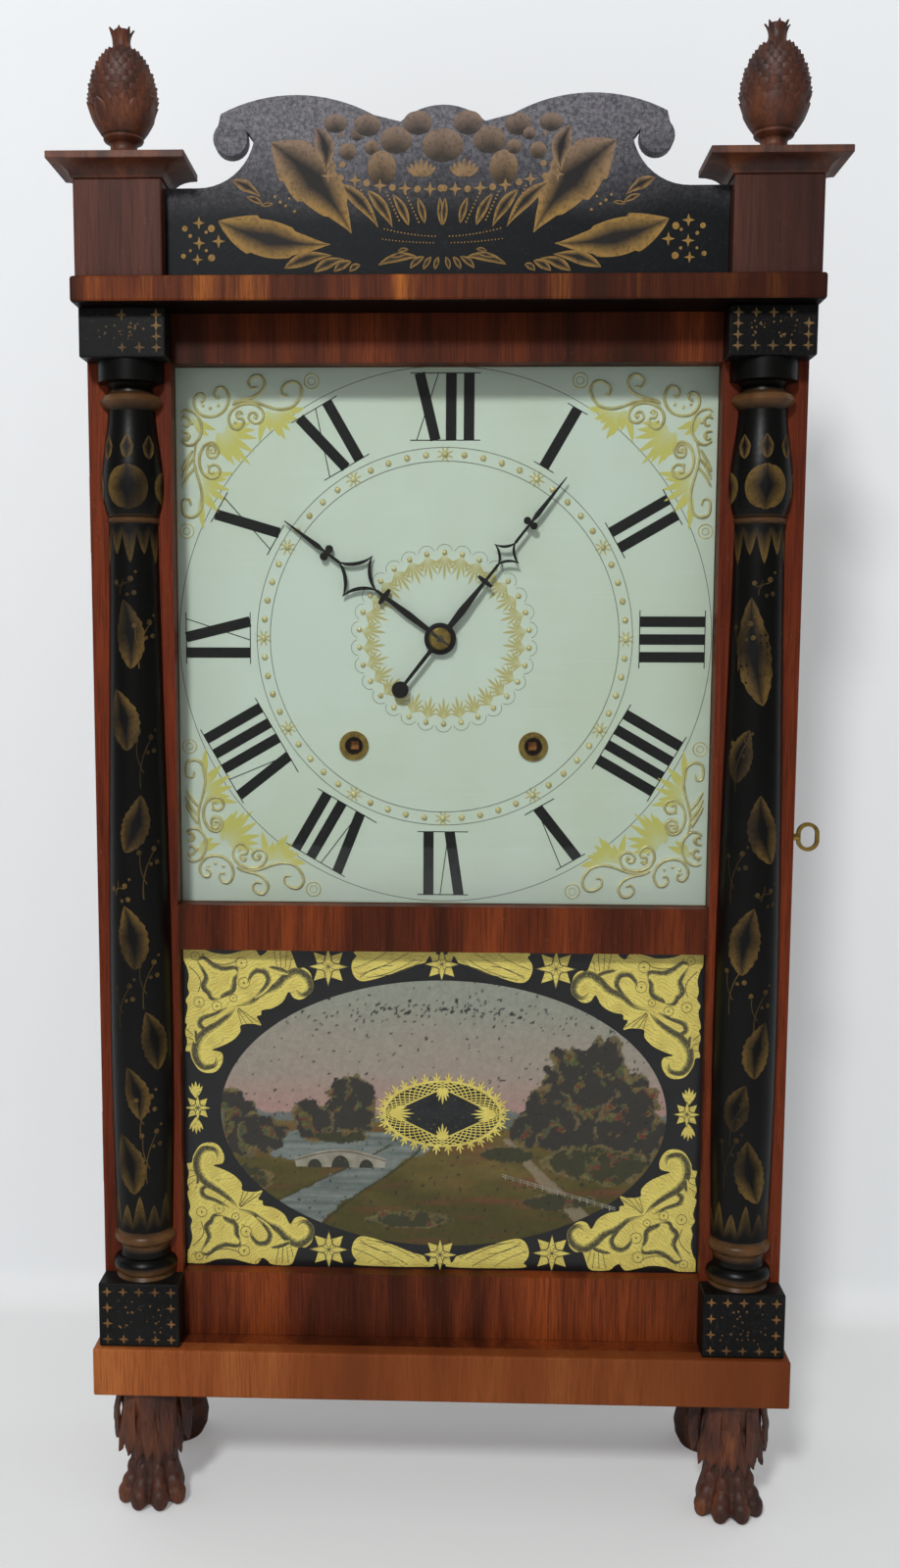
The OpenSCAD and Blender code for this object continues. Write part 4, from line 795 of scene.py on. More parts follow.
# Ornament of one corner, as places from the corner of the opening, in steps of a unit in mm: raised scrolls
# as paths, rings and balls as place, radius and half width, and painted leaves as base and tip
cornerLook = {"unit": 0.1104, "edge": 159.0, "inset": 4.5, "wire": 1.0, "rise": 1.2,
              "scrolls": [
    [(108, 152), (130, 140), (128, 115), (100, 110), (75, 140), (78, 180), (110, 218), (155, 230), (205, 220),
     (245, 185), (262, 130), (240, 82), (205, 78), (182, 105), (190, 130), (212, 130)],
    [(4, 205), (35, 195), (80, 215), (110, 270), (105, 330), (70, 375), (30, 380), (4, 362)],
    [(2, 242), (30, 235), (48, 255), (35, 280), (15, 276)],
    [(4, 312), (30, 315), (44, 335), (26, 355), (10, 345)],
    [(335, 215), (320, 202), (302, 215), (308, 238), (335, 242), (340, 270), (310, 298), (275, 285),
     (260, 240), (280, 195), (325, 168), (375, 162), (420, 175), (448, 215), (438, 255), (400, 265),
     (370, 242), (375, 215), (400, 208), (415, 228), (402, 242)],
    [(155, 420), (180, 420), (182, 392), (155, 380), (140, 410), (150, 442), (185, 445), (203, 410),
     (180, 370), (135, 375), (105, 420), (97, 470), (112, 525), (155, 558), (198, 548), (210, 510),
     (185, 485), (155, 495), (150, 525), (172, 532)],
    [(290, 155), (335, 140), (390, 128), (435, 100), (456, 58), (435, 18), (395, 18), (370, 48), (385, 80),
     (415, 75)],
    [(280, 165), (340, 148), (410, 155), (480, 180), (540, 192), (600, 180), (640, 140), (655, 90), (630, 52),
     (585, 52), (550, 80), (552, 115), (580, 120)],
    [(80, 375), (68, 450), (80, 520), (100, 590), (110, 660), (100, 730), (60, 765), (15, 755), (3, 715),
     (10, 675), (40, 670), (48, 700)],
    [(2, 520), (25, 470), (60, 410)], [(2, 560), (30, 500), (66, 450)], [(4, 600), (34, 545), (74, 500)]],
    "rings": [(710, 45, 40, 0.4), (710, 45, 20, 0.3), (25, 840, 38, 0.4), (25, 840, 18, 0.3)],
    "balls": [(120, 170), (160, 185), (205, 170), (20, 225), (60, 265), (35, 335), (320, 215), (295, 260),
              (400, 230), (160, 405), (150, 490), (170, 525)],
    "leaves": [((235, 290), (405, 300)), ((235, 300), (415, 345)), ((230, 305), (400, 420)),
               ((228, 310), (375, 485)), ((222, 312), (330, 480)), ((215, 315), (288, 490)),
               ((205, 315), (258, 470)), ((200, 310), (225, 440)), ((240, 285), (380, 262)),
               ((470, 195), (425, 370)), ((475, 200), (488, 310)), ((480, 200), (515, 290)),
               ((490, 205), (538, 335)), ((500, 205), (568, 352)), ((510, 205), (592, 305)),
               ((525, 205), (602, 265)), ((540, 203), (632, 245)), ((560, 200), (668, 185)),
               ((100, 540), (288, 528)), ((104, 550), (248, 562)), ((106, 560), (262, 620)),
               ((108, 580), (252, 680)), ((110, 600), (198, 740)), ((110, 620), (172, 722)),
               ((108, 640), (116, 832)), ((112, 630), (145, 690)), ((60, 240), (190, 300)),
               ((70, 260), (150, 330))]}


def makeCorners(look):
    unit, edge = look["unit"], look["edge"]
    low, high = (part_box("dial_glass")[i].z / mm + side * look["inset"] for i, side in ((0, 1), (1, -1)))
    scrolls, wash = bmesh.new(), bmesh.new()
    for sx in (1, -1):
        for cornerZ, sz in ((high, -1), (low, 1)):
            def place(a, b, h=0.0, cornerZ=cornerZ, sx=sx, sz=sz):
                return onDial(sx * (a * unit + 1 - edge), cornerZ + sz * (b * unit + 1), h)
            for points in look["scrolls"]:
                strip(scrolls, through(points),
                      lambda t: look["wire"] / unit * (0.7 + 0.3 * math.sin(math.pi * t)), place,
                      4 * len(points), 4, lambda t, s: look["rise"] * (1 - s * s))
            for a, b, r, half in look["rings"]:
                strip(scrolls, ring((a, b), r), half / unit, place, 26, 2, lambda t, s: 0.3 * (1 - s * s))
            for a, b in look["balls"]:
                ball(scrolls, lambda p, q, h=0.0: place(a + (p - a) / unit, b + (q - b) / unit, h), (a, b),
                     1.1)
            for base, tip in look["leaves"]:
                leaf(wash, place, base, tip, 19, 2, 6, 10)
    laid(wash, "dial_corner_leaves", "case", leafWash, "dial_paint", 0.2)
    laid(scrolls, "dial_corner_scrolls", "case", gessoGold, "dial_paint", 0.3, 50)


makeNumerals(dialLook)
makeLines(dialLook)
makeDots(dialLook)
makeCorners(cornerLook)


def makeCollet(middle):
    # Brass collet in front of the minute hand, with the arbor's end and its taper pin
    a, b = middle
    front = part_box("minute_hand")[0].y / mm
    brass, iron = bmesh.new(), bmesh.new()
    for bm, wide, narrow, thick, lift in ((brass, 6.6, 5.6, 0.9, 0.45), (iron, 2.3, 2.0, 2.4, 1.3)):
        for v in bmesh.ops.create_cone(bm, cap_ends=True, segments=32, radius1=wide, radius2=narrow,
                                       depth=thick)["verts"]:
            v.co = Vector((a + v.co.x, front - lift - v.co.z, b + v.co.y)) * mm
    for v in bmesh.ops.create_cone(iron, cap_ends=True, segments=12, radius1=1.0, radius2=0.6,
                                   depth=13)["verts"]:
        x, y, z = v.co
        v.co = Vector((a + z * 0.8 - x * 0.6, front - 1.9 - y, b - z * 0.6 - x * 0.8)) * mm
    for bm, name, slot in ((brass, "hand_collet", "brass"), (iron, "hand_pin", "iron")):
        bmesh.ops.recalc_face_normals(bm, faces=bm.faces)
        finishPiece(bm, name, "minute_hand", finishes[slot], slot, 40)


makeCollet(dialLook["hands"])
print("dial painted")


def stencilGold(name, low, high, ground, start=0.775, end=0.82, hollow=1.0, faded=0.0, upward=0.0):
    # Bronze powder: strong at a leaf's edges, rubbed away at its middle, paler and pinker higher up, which on
    # the splat goes with its painted sheen
    f = Finish(name, Roughness=0.55, Metallic=0.0, Specular_IOR_Level=0.2)
    along, across = f.stroke()
    edge = f.sum("MULTIPLY", f.apart(across, 0.5), 2.0)
    # Paler, pinker gold higher up: on the splat, part of its painted sheen
    gold = f.mix(f.ramp(f.split()[2], (start, 0.0), (end, 1.0)), low, high)
    if upward:
        spread = f.sum("ADD", f.sum("MULTIPLY", edge, 1 - upward), f.sum("MULTIPLY", along, upward * 1.3))
    else:
        spread = f.sum("ADD", edge, f.sum("MULTIPLY", f.apart(along, 0.52), 0.95))
    powder = f.ramp(spread, (0.26, 1.0 - hollow), (0.98, 1.0))
    rubbed = f.ramp(f.cloud((500, 500, 500), detail=4, rough=0.7), (0.34, 0.55), (0.52, 1.0))
    patches = f.ramp(f.cloud((38, 38, 22), detail=3), (0.38, 1.0 - faded), (0.6, 1.0))
    f.paint(f.sum("MULTIPLY", f.sum("MULTIPLY", powder, rubbed), patches), ground, gold)
    return f.material


# The splat: two large leaves each side, slender ones over and under the middle, stars, discs and fruits.
# Places are distances from the middle line outwards and heights, in mm.
splatLook = {
    # high is the gold's paler, pinker tone in the splat's top, partly painted sheen
    "middle": -2.0, "front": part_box("splat")[0].y, "gold": "#98763c", "high": "#836e60", "ground": "#111417",
    # Base, tip, half width, scallops and bow
    "leaves": [(51, 764, 96, 813, 15.5, 4, 4), (63, 758, 126, 771, 11.5, 3, -4),
               (36, 767, 59, 791, 4.2, 1, 2.5), (28, 767, 42, 787, 3.6, 1, 1.5),
               (19, 768, 28, 785, 2.8, 1, 1), (10, 769, 14, 783, 2.2, 1, 0.5),
               (0.5, 768, 1.5, 783, 2.0, 1, 0), (62, 752, 89, 745, 4.0, 1, 2),
               (55, 750, 72, 743, 3.2, 1, 1.5), (51, 748.5, 61, 743, 2.6, 1, 1),
               (46, 746.5, 52, 743, 2.0, 1, 1), (14, 751, 36, 746.5, 2.6, 1, 2),
               (10, 751, 18, 744.5, 2.0, 1, 1), (6, 751, 10.5, 744, 1.7, 1, 0.5),
               (2, 751, 4, 744, 1.6, 1, 0.3), (20, 752.5, 29, 750.5, 1.5, 1, 0.6),
               (19, 755, 25, 754, 1.2, 1, 0.4), (102, 784, 118, 793, 3.2, 2, 1),
               (101, 780, 110, 784, 1.7, 1, 0.5), (95, 780, 102, 779, 1.2, 1, 0.3),
               (66, 797, 71, 821, 6.0, 1, 3)],
    # Place, half width and half height
    "fruits": [(53, 808, 4.6, 4.6), (48, 817, 3.4, 3.4), (60, 823, 6.5, 5), (42, 822, 7.5, 6),
               (26, 814, 9.0, 7.5), (34, 799, 8.0, 9.5), (1, 811, 10.5, 9), (14, 823, 8, 6.5),
               (39.5, 810, 4, 4)],
    "row": [(64, 795), (57, 794), (49, 792.5), (42.5, 791), (35, 789.5), (28, 788.5), (21, 788), (14, 787.5),
            (7, 787.5), (0.8, 788)],
    "stars": [(137, 770, 3.6), (137, 759, 3.6), (126, 760, 3.8), (138, 750, 3.2), (57, 817, 2.4)],
    "discs": [(130, 767, 2.0), (130, 751, 2.0), (142, 763, 1.1), (133, 765, 0.9), (133, 755, 0.9),
              (142, 755, 0.8), (145, 767, 1.6), (146, 752, 1.4), (56, 801, 1.8), (91, 781, 0.9),
              (88, 779, 0.8), (83, 776, 0.8), (94, 784, 0.8), (86, 783, 0.6)]}
onSplat = onFace(splatLook["front"])


def oval(half):
    # Half widths along an oval
    return lambda t: half * math.sqrt(max(0.004, 1 - (2 * t - 1) ** 2))


def makeSplat(look):
    leaves, plain, fruits = bmesh.new(), bmesh.new(), bmesh.new()
    for side in (-1, 1):
        def place(a, b, h=0.0, side=side):
            return onSplat(look["middle"] - side * a, b, h)
        over = above(place)
        for a0, b0, a1, b1, w, teeth, bow in look["leaves"]:
            leaf(leaves, place, (a0, b0), (a1, b1), w, teeth, bow, 32 if w > 6 else 12,
                 1.35 if w > 3 else 1.0)
        for a, b, w, h in look["fruits"]:
            strip(fruits, straight((a, b - h), (a, b + h)), oval(w), place, 14, 6)
        for k in range(-3, 4):
            drop(plain, over, (12 + 0.9 * k, 794), 90 - 15 * k, 10.5 - 0.9 * abs(k), 1.7, 6, 2)
        for i, spot in enumerate(look["row"]):
            if i % 2 == 0:
                fourStar(plain, over, spot, 4.0)
            else:
                disc(plain, over, spot, 1.9, 16)
        for a, b, r in look["stars"]:
            fourStar(plain, over, (a, b), r)
        for a, b, r in look["discs"]:
            disc(plain, over, (a, b), r, 12)
        # Rows of small dots under the middle and along its slender leaves
        for k in range(16):
            a = 4 + 1.9 * k
            disc(plain, over, (a, 762 + 0.004 * a * a), 0.45, 6)
            disc(plain, over, (a + 1, 758.5 + 0.002 * a * a), 0.42, 6)
            if k < 9:
                for a0, b0 in ((46.5, 789), (31.5, 786), (20.5, 785)):
                    disc(plain, over, (a0 - 0.9 * k, b0 - 1.9 * k), 0.55, 6)
    for bm, name, hollow, upward in ((leaves, "splat_leaves", 0.97, 0.0), (plain, "splat_stars", 0.0, 0.0),
                                     (fruits, "splat_fruits", 0.85, 0.8)):
        gold = stencilGold(name, look["gold"], look["high"], look["ground"], hollow=hollow, upward=upward)
        laid(bm, name, "case", gold, "black_paint", 0.2)


def splatPaint(name, ground):
    # Black below, turning to a mottled grey towards the top that is partly worn paint and partly painted sheen
    f = Finish(name, Roughness=0.42, Specular_IOR_Level=0.12)
    speck = f.cloud((520, 520, 520), detail=6, rough=0.8)
    haze = f.sum("SUBTRACT", f.cloud((14, 14, 10), detail=3), 0.5)
    # Painted sheen with wear: the grey band over the splat's top
    wearAndSheenZone = f.ramp(f.sum("ADD", f.split()[2], f.sum("MULTIPLY", haze, 0.03)), (0.772, 0.0), (0.818, 1.0))
    worn = f.mix(f.ramp(speck, (0.4, 0.0), (0.66, 0.9)), "#45454c", "#8b888d")
    lower = f.mix(f.ramp(speck, (0.55, 0.0), (0.75, 0.5)), ground, "#3d4347")
    f.paint(wearAndSheenZone, lower, worn)
    f.bump(speck, 0.3, 0.0003)
    return f.material


def columnShape(cx, cy):
    # Places on the face of one half column, whose radius at each height comes from the solid itself
    rows = {}
    for v in nodes["half_columns"].data.vertices:
        x, y, z = (nodes["half_columns"].matrix_world @ v.co) / mm
        if x * cx > 0:
            rows[round(z, 1)] = max(rows.get(round(z, 1), 0), math.hypot(x - cx, y - cy))
    heights = sorted(rows)

    def radius(z):
        below = max([h for h in heights if h <= z], default=heights[0])
        higher = min([h for h in heights if h >= z], default=heights[-1])
        t = (z - below) / (higher - below) if higher > below else 0
        return rows[below] + (rows[higher] - rows[below]) * t
    return lambda a, b, h=0.0: onRound((cx, cy), radius(b) + h, a / max(radius(b), 6), b)


# Half columns, with places as distances round the shaft and heights, in mm: leaves as base, tip and half
# width, sprigs as place, foot and head; the bronzed rings are heights in metres
columnLook = {
    "axis": (182.05, -31.5), "gold": "#654e24", "ground": "#070706", "bronze": "#6b4a2c",
    "rings": [(0.1480, 0.1535), (0.1660, 0.1770), (0.6052, 0.6082), (0.6700, 0.6790)],
    "leftLeaves": [(0, 520, -4, 560, 9), (-3, 472, -10, 508, 10), (-5, 412, 5, 446, 9), (0, 342, -6, 380, 10),
                   (13, 280, 6, 316, 9), (2, 250, -6, 282, 8), (-3, 203, -11, 240, 10)],
    "rightLeaves": [(2, 500, -6, 562, 11), (-12, 455, -5, 486, 8), (10, 408, 2, 448, 10),
                    (-6, 342, 0, 382, 10), (3, 280, 9, 314, 9), (-8, 247, -2, 276, 8), (8, 203, 0, 242, 10)],
    "sprigs": [(9, 532, 545), (9, 462, 478), (10, 396, 412), (-8, 398, 390), (-6, 318, 330), (9, 330, 344),
               (9, 222, 240), (6, 250, 262), (-2, 575, 570)]}


def sealedRound(bm, axis):
    # A thin sheet round an upright axis becomes closed
    bmesh.ops.remove_doubles(bm, verts=bm.verts, dist=1e-6)
    bm.normal_update()
    inward = [f for f in bm.faces if f.normal.dot((f.calc_center_median() - axis) * Vector((1, 1, 0))) < 0]
    bmesh.ops.reverse_faces(bm, faces=inward)
    front = bm.faces[:]
    for g in bmesh.ops.extrude_face_region(bm, geom=front)["geom"]:
        if isinstance(g, bmesh.types.BMVert):
            g.co += Vector((g.co.x - axis.x, g.co.y - axis.y, 0)).normalized() * 0.07 * mm
    bmesh.ops.reverse_faces(bm, faces=[f for f in front if f.is_valid])


def makeColumnOrnament(look, side):
    name = "left" if side < 0 else "right"
    cx, cy = side * look["axis"][0], look["axis"][1]
    place = columnShape(cx, cy)
    bm, dots, fringe = bmesh.new(), bmesh.new(), bmesh.new()
    for a0, b0, a1, b1, w in look[name + "Leaves"]:
        leaf(bm, place, (a0, b0), (a1, b1), w, 8, 2 * side)
    # Pointed fringes under the neck and over the foot, rounds at the neck
    for k in range(-3, 4):
        for step, foot, lean, tip in ((8.2, 604, 0.6, 581 + (k % 2) * 5), (8.4, 178, 0.5, 202 - (k % 2) * 6)):
            strip(fringe, straight((k * step, foot), (k * step + lean, tip)), lambda t: 5.2 * (1 - t) ** 0.7,
                  place, 12, 6)
    for k in range(-1, 2):
        size = 9 if k else 12.4
        strip(bm, straight((k * 26, 624 - size), (k * 26, 624 + size * 1.05)), oval(size), place, 20, 8)
        leaf(bm, place, (k * 13, 640), (k * 13, 654), 4, 2, 0, 12)
    for u, low, high in look["sprigs"]:
        u = -side * u
        strip(dots, bowed((u - 4, low - 12), (u + 2, high), 2.5), 0.3, place, 14, 1)
        strip(dots, bowed((u - 2, low - 3), (u - 6, high - 2), 1.5), 0.25, place, 8, 1)
        for da, db, r in ((2.5, 2, 1.7), (-6.5, 0, 1.5), (4.5, -6, 1.5), (0.5, -7, 1.1), (5.5, 6, 0.9)):
            for v in bmesh.ops.create_circle(dots, cap_ends=True, segments=12, radius=r)["verts"]:
                v.co = place(u + da + v.co.x, high + db + v.co.y, 0.05)
    for built, part, hollow, upward in ((bm, "leaves", 1.0, 0.0), (dots, "berries", 0.25, 0.0),
                                        (fringe, "fringe", 1.0, 0.75)):
        sealedRound(built, Vector((cx, cy, 0)) * mm)
        part = name + "_column_" + part
        gold = stencilGold(part, look["gold"], look["gold"], look["ground"], hollow=hollow, faded=0.75,
                           upward=upward)
        finishPiece(built, part, "door", gold, "black_paint")


def columnPaint(name, look):
    f = Finish(name, Roughness=0.34, Specular_IOR_Level=0.2)
    height = f.split()[2]
    speck = f.cloud((480, 480, 300), detail=5, rough=0.8)
    colour = f.mix(f.ramp(speck, (0.58, 0.0), (0.82, 0.35)), look["ground"], "#34322d")
    wear = f.ramp(f.cloud((60, 60, 60), detail=4), (0.3, 0.35), (0.6, 0.9))
    for low, high in look["rings"]:
        band = f.sum("MULTIPLY", f.ramp(height, (low - 0.0006, 0.0), (low + 0.0006, 1.0)),
                     f.ramp(height, (high - 0.0006, 1.0), (high + 0.0006, 0.0)))
        colour = f.mix(f.sum("MULTIPLY", band, wear), colour, look["bronze"])
    f.link("Base Color", colour)
    f.bump(speck, 0.2, 0.0003)
    return f.material


# Stars round the blocks: the heights between which each pair shows, how far they reach to the sides, and the
# share of stars that is worn away on the left and on the right
blockLook = {"lowTop": 147.0, "highFoot": 696.5, "inner": 158.2, "outer": 207.2, "columns": 5, "rows": 4,
             "worn": {-1: 0.35, 1: 0.1}, "flecks": 26, "seed": 5,
             "gold": "#8a6236", "high": "#8a6a40", "ground": "#1c1a17"}


def makeBlockStars(look):
    low, high = (Vector(c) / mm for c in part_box("column_blocks"))
    bm = bmesh.new()
    place = onFace(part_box("column_blocks")[0].y)
    rng = random.Random(look["seed"])
    n, m = look["columns"] - 1, look["rows"] - 1
    for side in (-1, 1):
        x0, x1 = sorted((side * look["inner"], side * look["outer"]))
        for z0, z1, top in ((low.z, look["lowTop"], False), (look["highFoot"], high.z, True)):
            for i in range(n + 1):
                for j in range(m + 1):
                    if 0 < i < n and 0 < j < m:
                        continue
                    gone = rng.random() < look["worn"][side] and top
                    x, z = x0 + 5 + (x1 - x0 - 10) * i / n, z0 + 4.6 + (z1 - z0 - 9.2) * j / m
                    if top and side < 0 and x < x0 + 24 or gone:
                        continue
                    fourStar(bm, place, (x, z), 2.9 + 0.5 * rng.random())
            for _ in range(look["flecks"]):
                spot = (rng.uniform(x0 + 11, x1 - 11), rng.uniform(z0 + 9, z1 - 9))
                disc(bm, place, spot, rng.uniform(0.3, 0.75), 6)
    gold = stencilGold("block_stars", look["gold"], look["high"], look["ground"], 0.3, 0.6, 0.15, 0.6)
    laid(bm, "block_stars", "door", gold, "black_paint", 0.2)


makeSplat(splatLook)
dress(bpy.data.objects["splat_rubbed"], splatPaint("splat_paint", splatLook["ground"]))
for side in (-1, 1):
    makeColumnOrnament(columnLook, side)
dress(nodes["half_columns"], columnPaint("column_paint", columnLook))
makeBlockStars(blockLook)
print("stencils laid")


# The tablet: a gilded border round a generic view over a lake, painted dab by dab
tabletLook = {"middle": (0.0, 249.2), "picture": (1.0, 247.0), "half": (137.0, 84.0), "cell": 0.95,
              "skyTop": (0.560, 0.575, 0.520), "skyLow": (0.640, 0.545, 0.500), "horizon": 240.0,
              "wreath": (1.0, 247.5), "wreathOut": (36.0, 20.5), "wreathIn": (29.5, 14.5)}
onTablet = onFace(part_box("tablet_glass")[0].y)
overTablet = above(onTablet, 0.1)
lacquer = {"Specular_IOR_Level": 0.15, "Coat_Weight": 0.4, "Coat_Roughness": 0.04}


def leafGold(name, light, deep, engraved=0.0):
    f = Finish(name, Metallic=0.1, Roughness=0.45, **lacquer)
    base = f.mix(f.ramp(f.cloud((90, 90, 90), detail=4), (0.4, 0.0), (0.7, 1.0)), light, deep)
    rubbed = f.mix(f.ramp(f.cloud((700, 700, 700), detail=3), (0.6, 0.0), (0.8, 0.5)), base, "#8f7c3a")
    lines = f.add("ShaderNodeTexWave", {"Vector": f.place, "Scale": 150, "Distortion": 14, "Detail": 2,
                                        "Detail Scale": 0.8}, wave_type="RINGS",
                  rings_direction="Y").outputs[1]
    f.paint(f.ramp(lines, (0.0, engraved), (0.1, 0.0)), rubbed, "#5d5230")
    return f.material


def scrollShade(name, gold, dark):
    # Stippled shading: dark along one edge of each stroke, gone at the other
    f = Finish(name, Metallic=0.1, Roughness=0.45, **lacquer)
    along, across = f.stroke()
    grain = f.sum("MULTIPLY", f.sum("SUBTRACT", f.cloud((800, 800, 800), detail=4, rough=0.8), 0.5), 1.1)
    amount = f.ramp(f.sum("ADD", across, grain), (0.0, 0.8), (0.3, 1.0), (0.52, 0.7), (0.85, 0.0))
    ends = f.ramp(f.apart(along, 0.5), (0.36, 1.0), (0.5, 0.0))
    f.paint(f.sum("MULTIPLY", amount, ends), gold, dark)
    return f.material


def mottle(x, z, size, seed=0):
    return noise.fractal(Vector((x / size, z / size, seed * 7.3)), 1.0, 2.1, 4)


def mixed(p, q, t):
    t = max(0.0, min(1.0, t))
    return tuple(u + (v - u) * t for u, v in zip(p, q))


def canopy(x, z, cx, cz, w, h, seed):
    # Above zero inside a tree or a clump of them
    return 1.0 - math.hypot((x - cx) / w, (z - cz) / h) + 0.42 * mottle(x, z, 16, seed)


# Trees and bushes as place, half width, half height and seed
clumps = [(92, 258, 33, 40, 1), (66, 246, 17, 21, 2), (118, 240, 22, 26, 3), (-58, 250, 17, 20, 4),
          (-78, 243, 14, 14, 5), (52, 236, 10, 10, 6), (-124, 240, 12, 22, 7), (-112, 234, 14, 12, 8)]
bushes = [(100, 216, 30, 12, 11), (-118, 204, 20, 9, 12), (40, 222, 16, 5, 13), (-60, 232, 18, 4, 14),
          (74, 192, 22, 5, 15), (-20, 180, 30, 5, 16)]


def landTint(x, z, horizon):
    # Meadows with a lake, a stream that leaves it and a footpath
    below = horizon - z
    colour = mixed((0.43, 0.37, 0.19), (0.29, 0.27, 0.12), below / 55 + 0.5 * mottle(x, z * 3, 30, 32))
    colour = mixed(colour, (0.43, 0.25, 0.17), 0.9 * max(0, mottle(x * 0.6, z * 4, 26, 33)))
    bank = 0.38 * (9 + 0.9 * below)
    fromStream = abs(x + 8 + 1.3 * below - 6 * math.sin(below / 13))
    inLake = 1 - math.hypot((x + 62) / 56, (z - 226) / 10.5) + 0.15 * mottle(x, z, 12, 34) > 0
    if inLake or (below > 14 and fromStream < bank + 3 * mottle(x, z, 9, 35)):
        colour = mixed((0.50, 0.53, 0.51), (0.36, 0.40, 0.38), 0.5 + 0.9 * mottle(x * 0.35, z * 5, 14, 36))
    if below > 14 and 0 < fromStream - bank < 2.5:
        colour = mixed(colour, (0.22, 0.21, 0.11), 0.7)
    if below > 6 and abs(x - 34 - 0.95 * below) < 1.6 + below * 0.09 + 1.2 * mottle(x, z, 8, 37):
        colour = mixed(colour, (0.55, 0.50, 0.42), 0.8)
    return colour


def treeTint(x, z, colour):
    for cx, cz, w, h, seed in clumps + bushes:
        inside = canopy(x, z, cx, cz, w, h, seed)
        if inside > 0:
            dab = mottle(x, z, 9.0, seed + 40)
            colour = (0.21, 0.20, 0.18) if seed < 10 else (0.23, 0.23, 0.15)
            if dab > 0.26:
                pick = (seed + int(9 * abs(mottle(x, z, 14, seed + 60)))) % 3
                colour = ((0.40, 0.22, 0.17), (0.38, 0.37, 0.19), (0.29, 0.32, 0.22))[pick]
            if inside < 0.14 and dab > -0.1:
                colour = mixed(colour, (0.50, 0.44, 0.28), 0.6)
    return colour


def tintAt(x, z, look):
    # Sky, pale and rosy low down, then hills, land and trees
    horizon = look["horizon"] - 2.5 * math.sin(x / 40)
    colour = mixed(look["skyTop"], look["skyLow"], (322 - z) / 84 + 0.12 * mottle(x, z, 45, 20))
    colour = mixed(colour, (0.66, 0.50, 0.47), max(0, 1 - abs(z - 250) / 22) * 0.55)
    hills = horizon + 8 + 6 * math.sin(x / 27 + 1) + 3 * mottle(x, 0, 20, 31)
    if z < hills:
        colour = mixed((0.44, 0.46, 0.45), (0.36, 0.37, 0.31), (hills - z) / 14)
    if z < horizon:
        colour = landTint(x, z, horizon)
    colour = treeTint(x, z, colour)
    # Flaked paint near the top of the sky, and single flakes elsewhere
    belt = max(0.0, 1 - abs(z - 313 + 0.0011 * x * x) / 11) * (1 - min(1, abs(x) / 115))
    if mottle(x, z, 2.6, 50) > 0.7 - 0.62 * belt:
        colour = mixed(colour, (0.13, 0.14, 0.14), 0.85)
    fade = 1 + 0.06 * mottle(x, z, 3, 51)
    return [linearValue(min(1.0, c * fade)) for c in colour] + [1]


def makePicture(look):
    (cx, cz), (w, h), cell = look["picture"], look["half"], look["cell"]
    bm = bmesh.new()
    made = bmesh.ops.create_grid(bm, x_segments=int(2 * w / cell), y_segments=int(2 * h / cell),
                                 size=1.0)["verts"]
    for v in made:
        v.co = onTablet(cx + v.co.x * w, cz + v.co.y * h)
    # The grid's edge snaps to the oval
    gone = []
    for v in made:
        away = math.hypot((v.co.x / mm - cx) / w, (v.co.z / mm - cz) / h)
        if away > 1 + 1.3 * cell / h:
            gone.append(v)
        elif away > 1:
            v.co = onTablet(cx + (v.co.x / mm - cx) / away, cz + (v.co.z / mm - cz) / away)
    bmesh.ops.delete(bm, geom=gone, context="VERTS")
    bmesh.ops.dissolve_degenerate(bm, edges=bm.edges, dist=2e-5)
    f = Finish("tablet_paint", Roughness=0.5, **lacquer)
    tint = f.add("ShaderNodeVertexColor", layer_name="tint").outputs[0]
    f.paint(f.ramp(f.cloud((900, 900, 900), detail=4, rough=0.7), (0.5, 0.0), (0.8, 0.35)), tint, "#2a2b2a")
    mesh = laid(bm, "tablet_picture", "door", f.material, "painted_glass").data
    tints = mesh.color_attributes.new("tint", "FLOAT_COLOR", "POINT")
    for v, t in zip(mesh.vertices, tints.data):
        t.color = tintAt(v.co.x / mm, v.co.z / mm, look)


def flat(bm, points, place):
    # A filled outline
    lift = lifted(bm)
    verts = [bm.verts.new(place(a, b, lift)) for a, b in points]
    edges = [bm.edges.new((v, verts[i - 1])) for i, v in enumerate(verts)]
    bmesh.ops.triangle_fill(bm, use_beauty=True, edges=edges)


def compass(gold, dark, at, size):
    star(gold, overTablet, at, size * 1.02, size * 0.5, 4, 45)
    star(dark, above(overTablet), at, size * 1.04, size * 0.34, 4)
    star(gold, above(overTablet, 0.26), at, size * 0.92, size * 0.27, 4)
    for k in range(8):
        ray = straight(at, onRing(at, size * 0.62, 45 * k + 22))
        strip(dark, ray, lambda t: 0.18 * (1 - t) + 0.05, above(overTablet, 0.39), 2, 1)


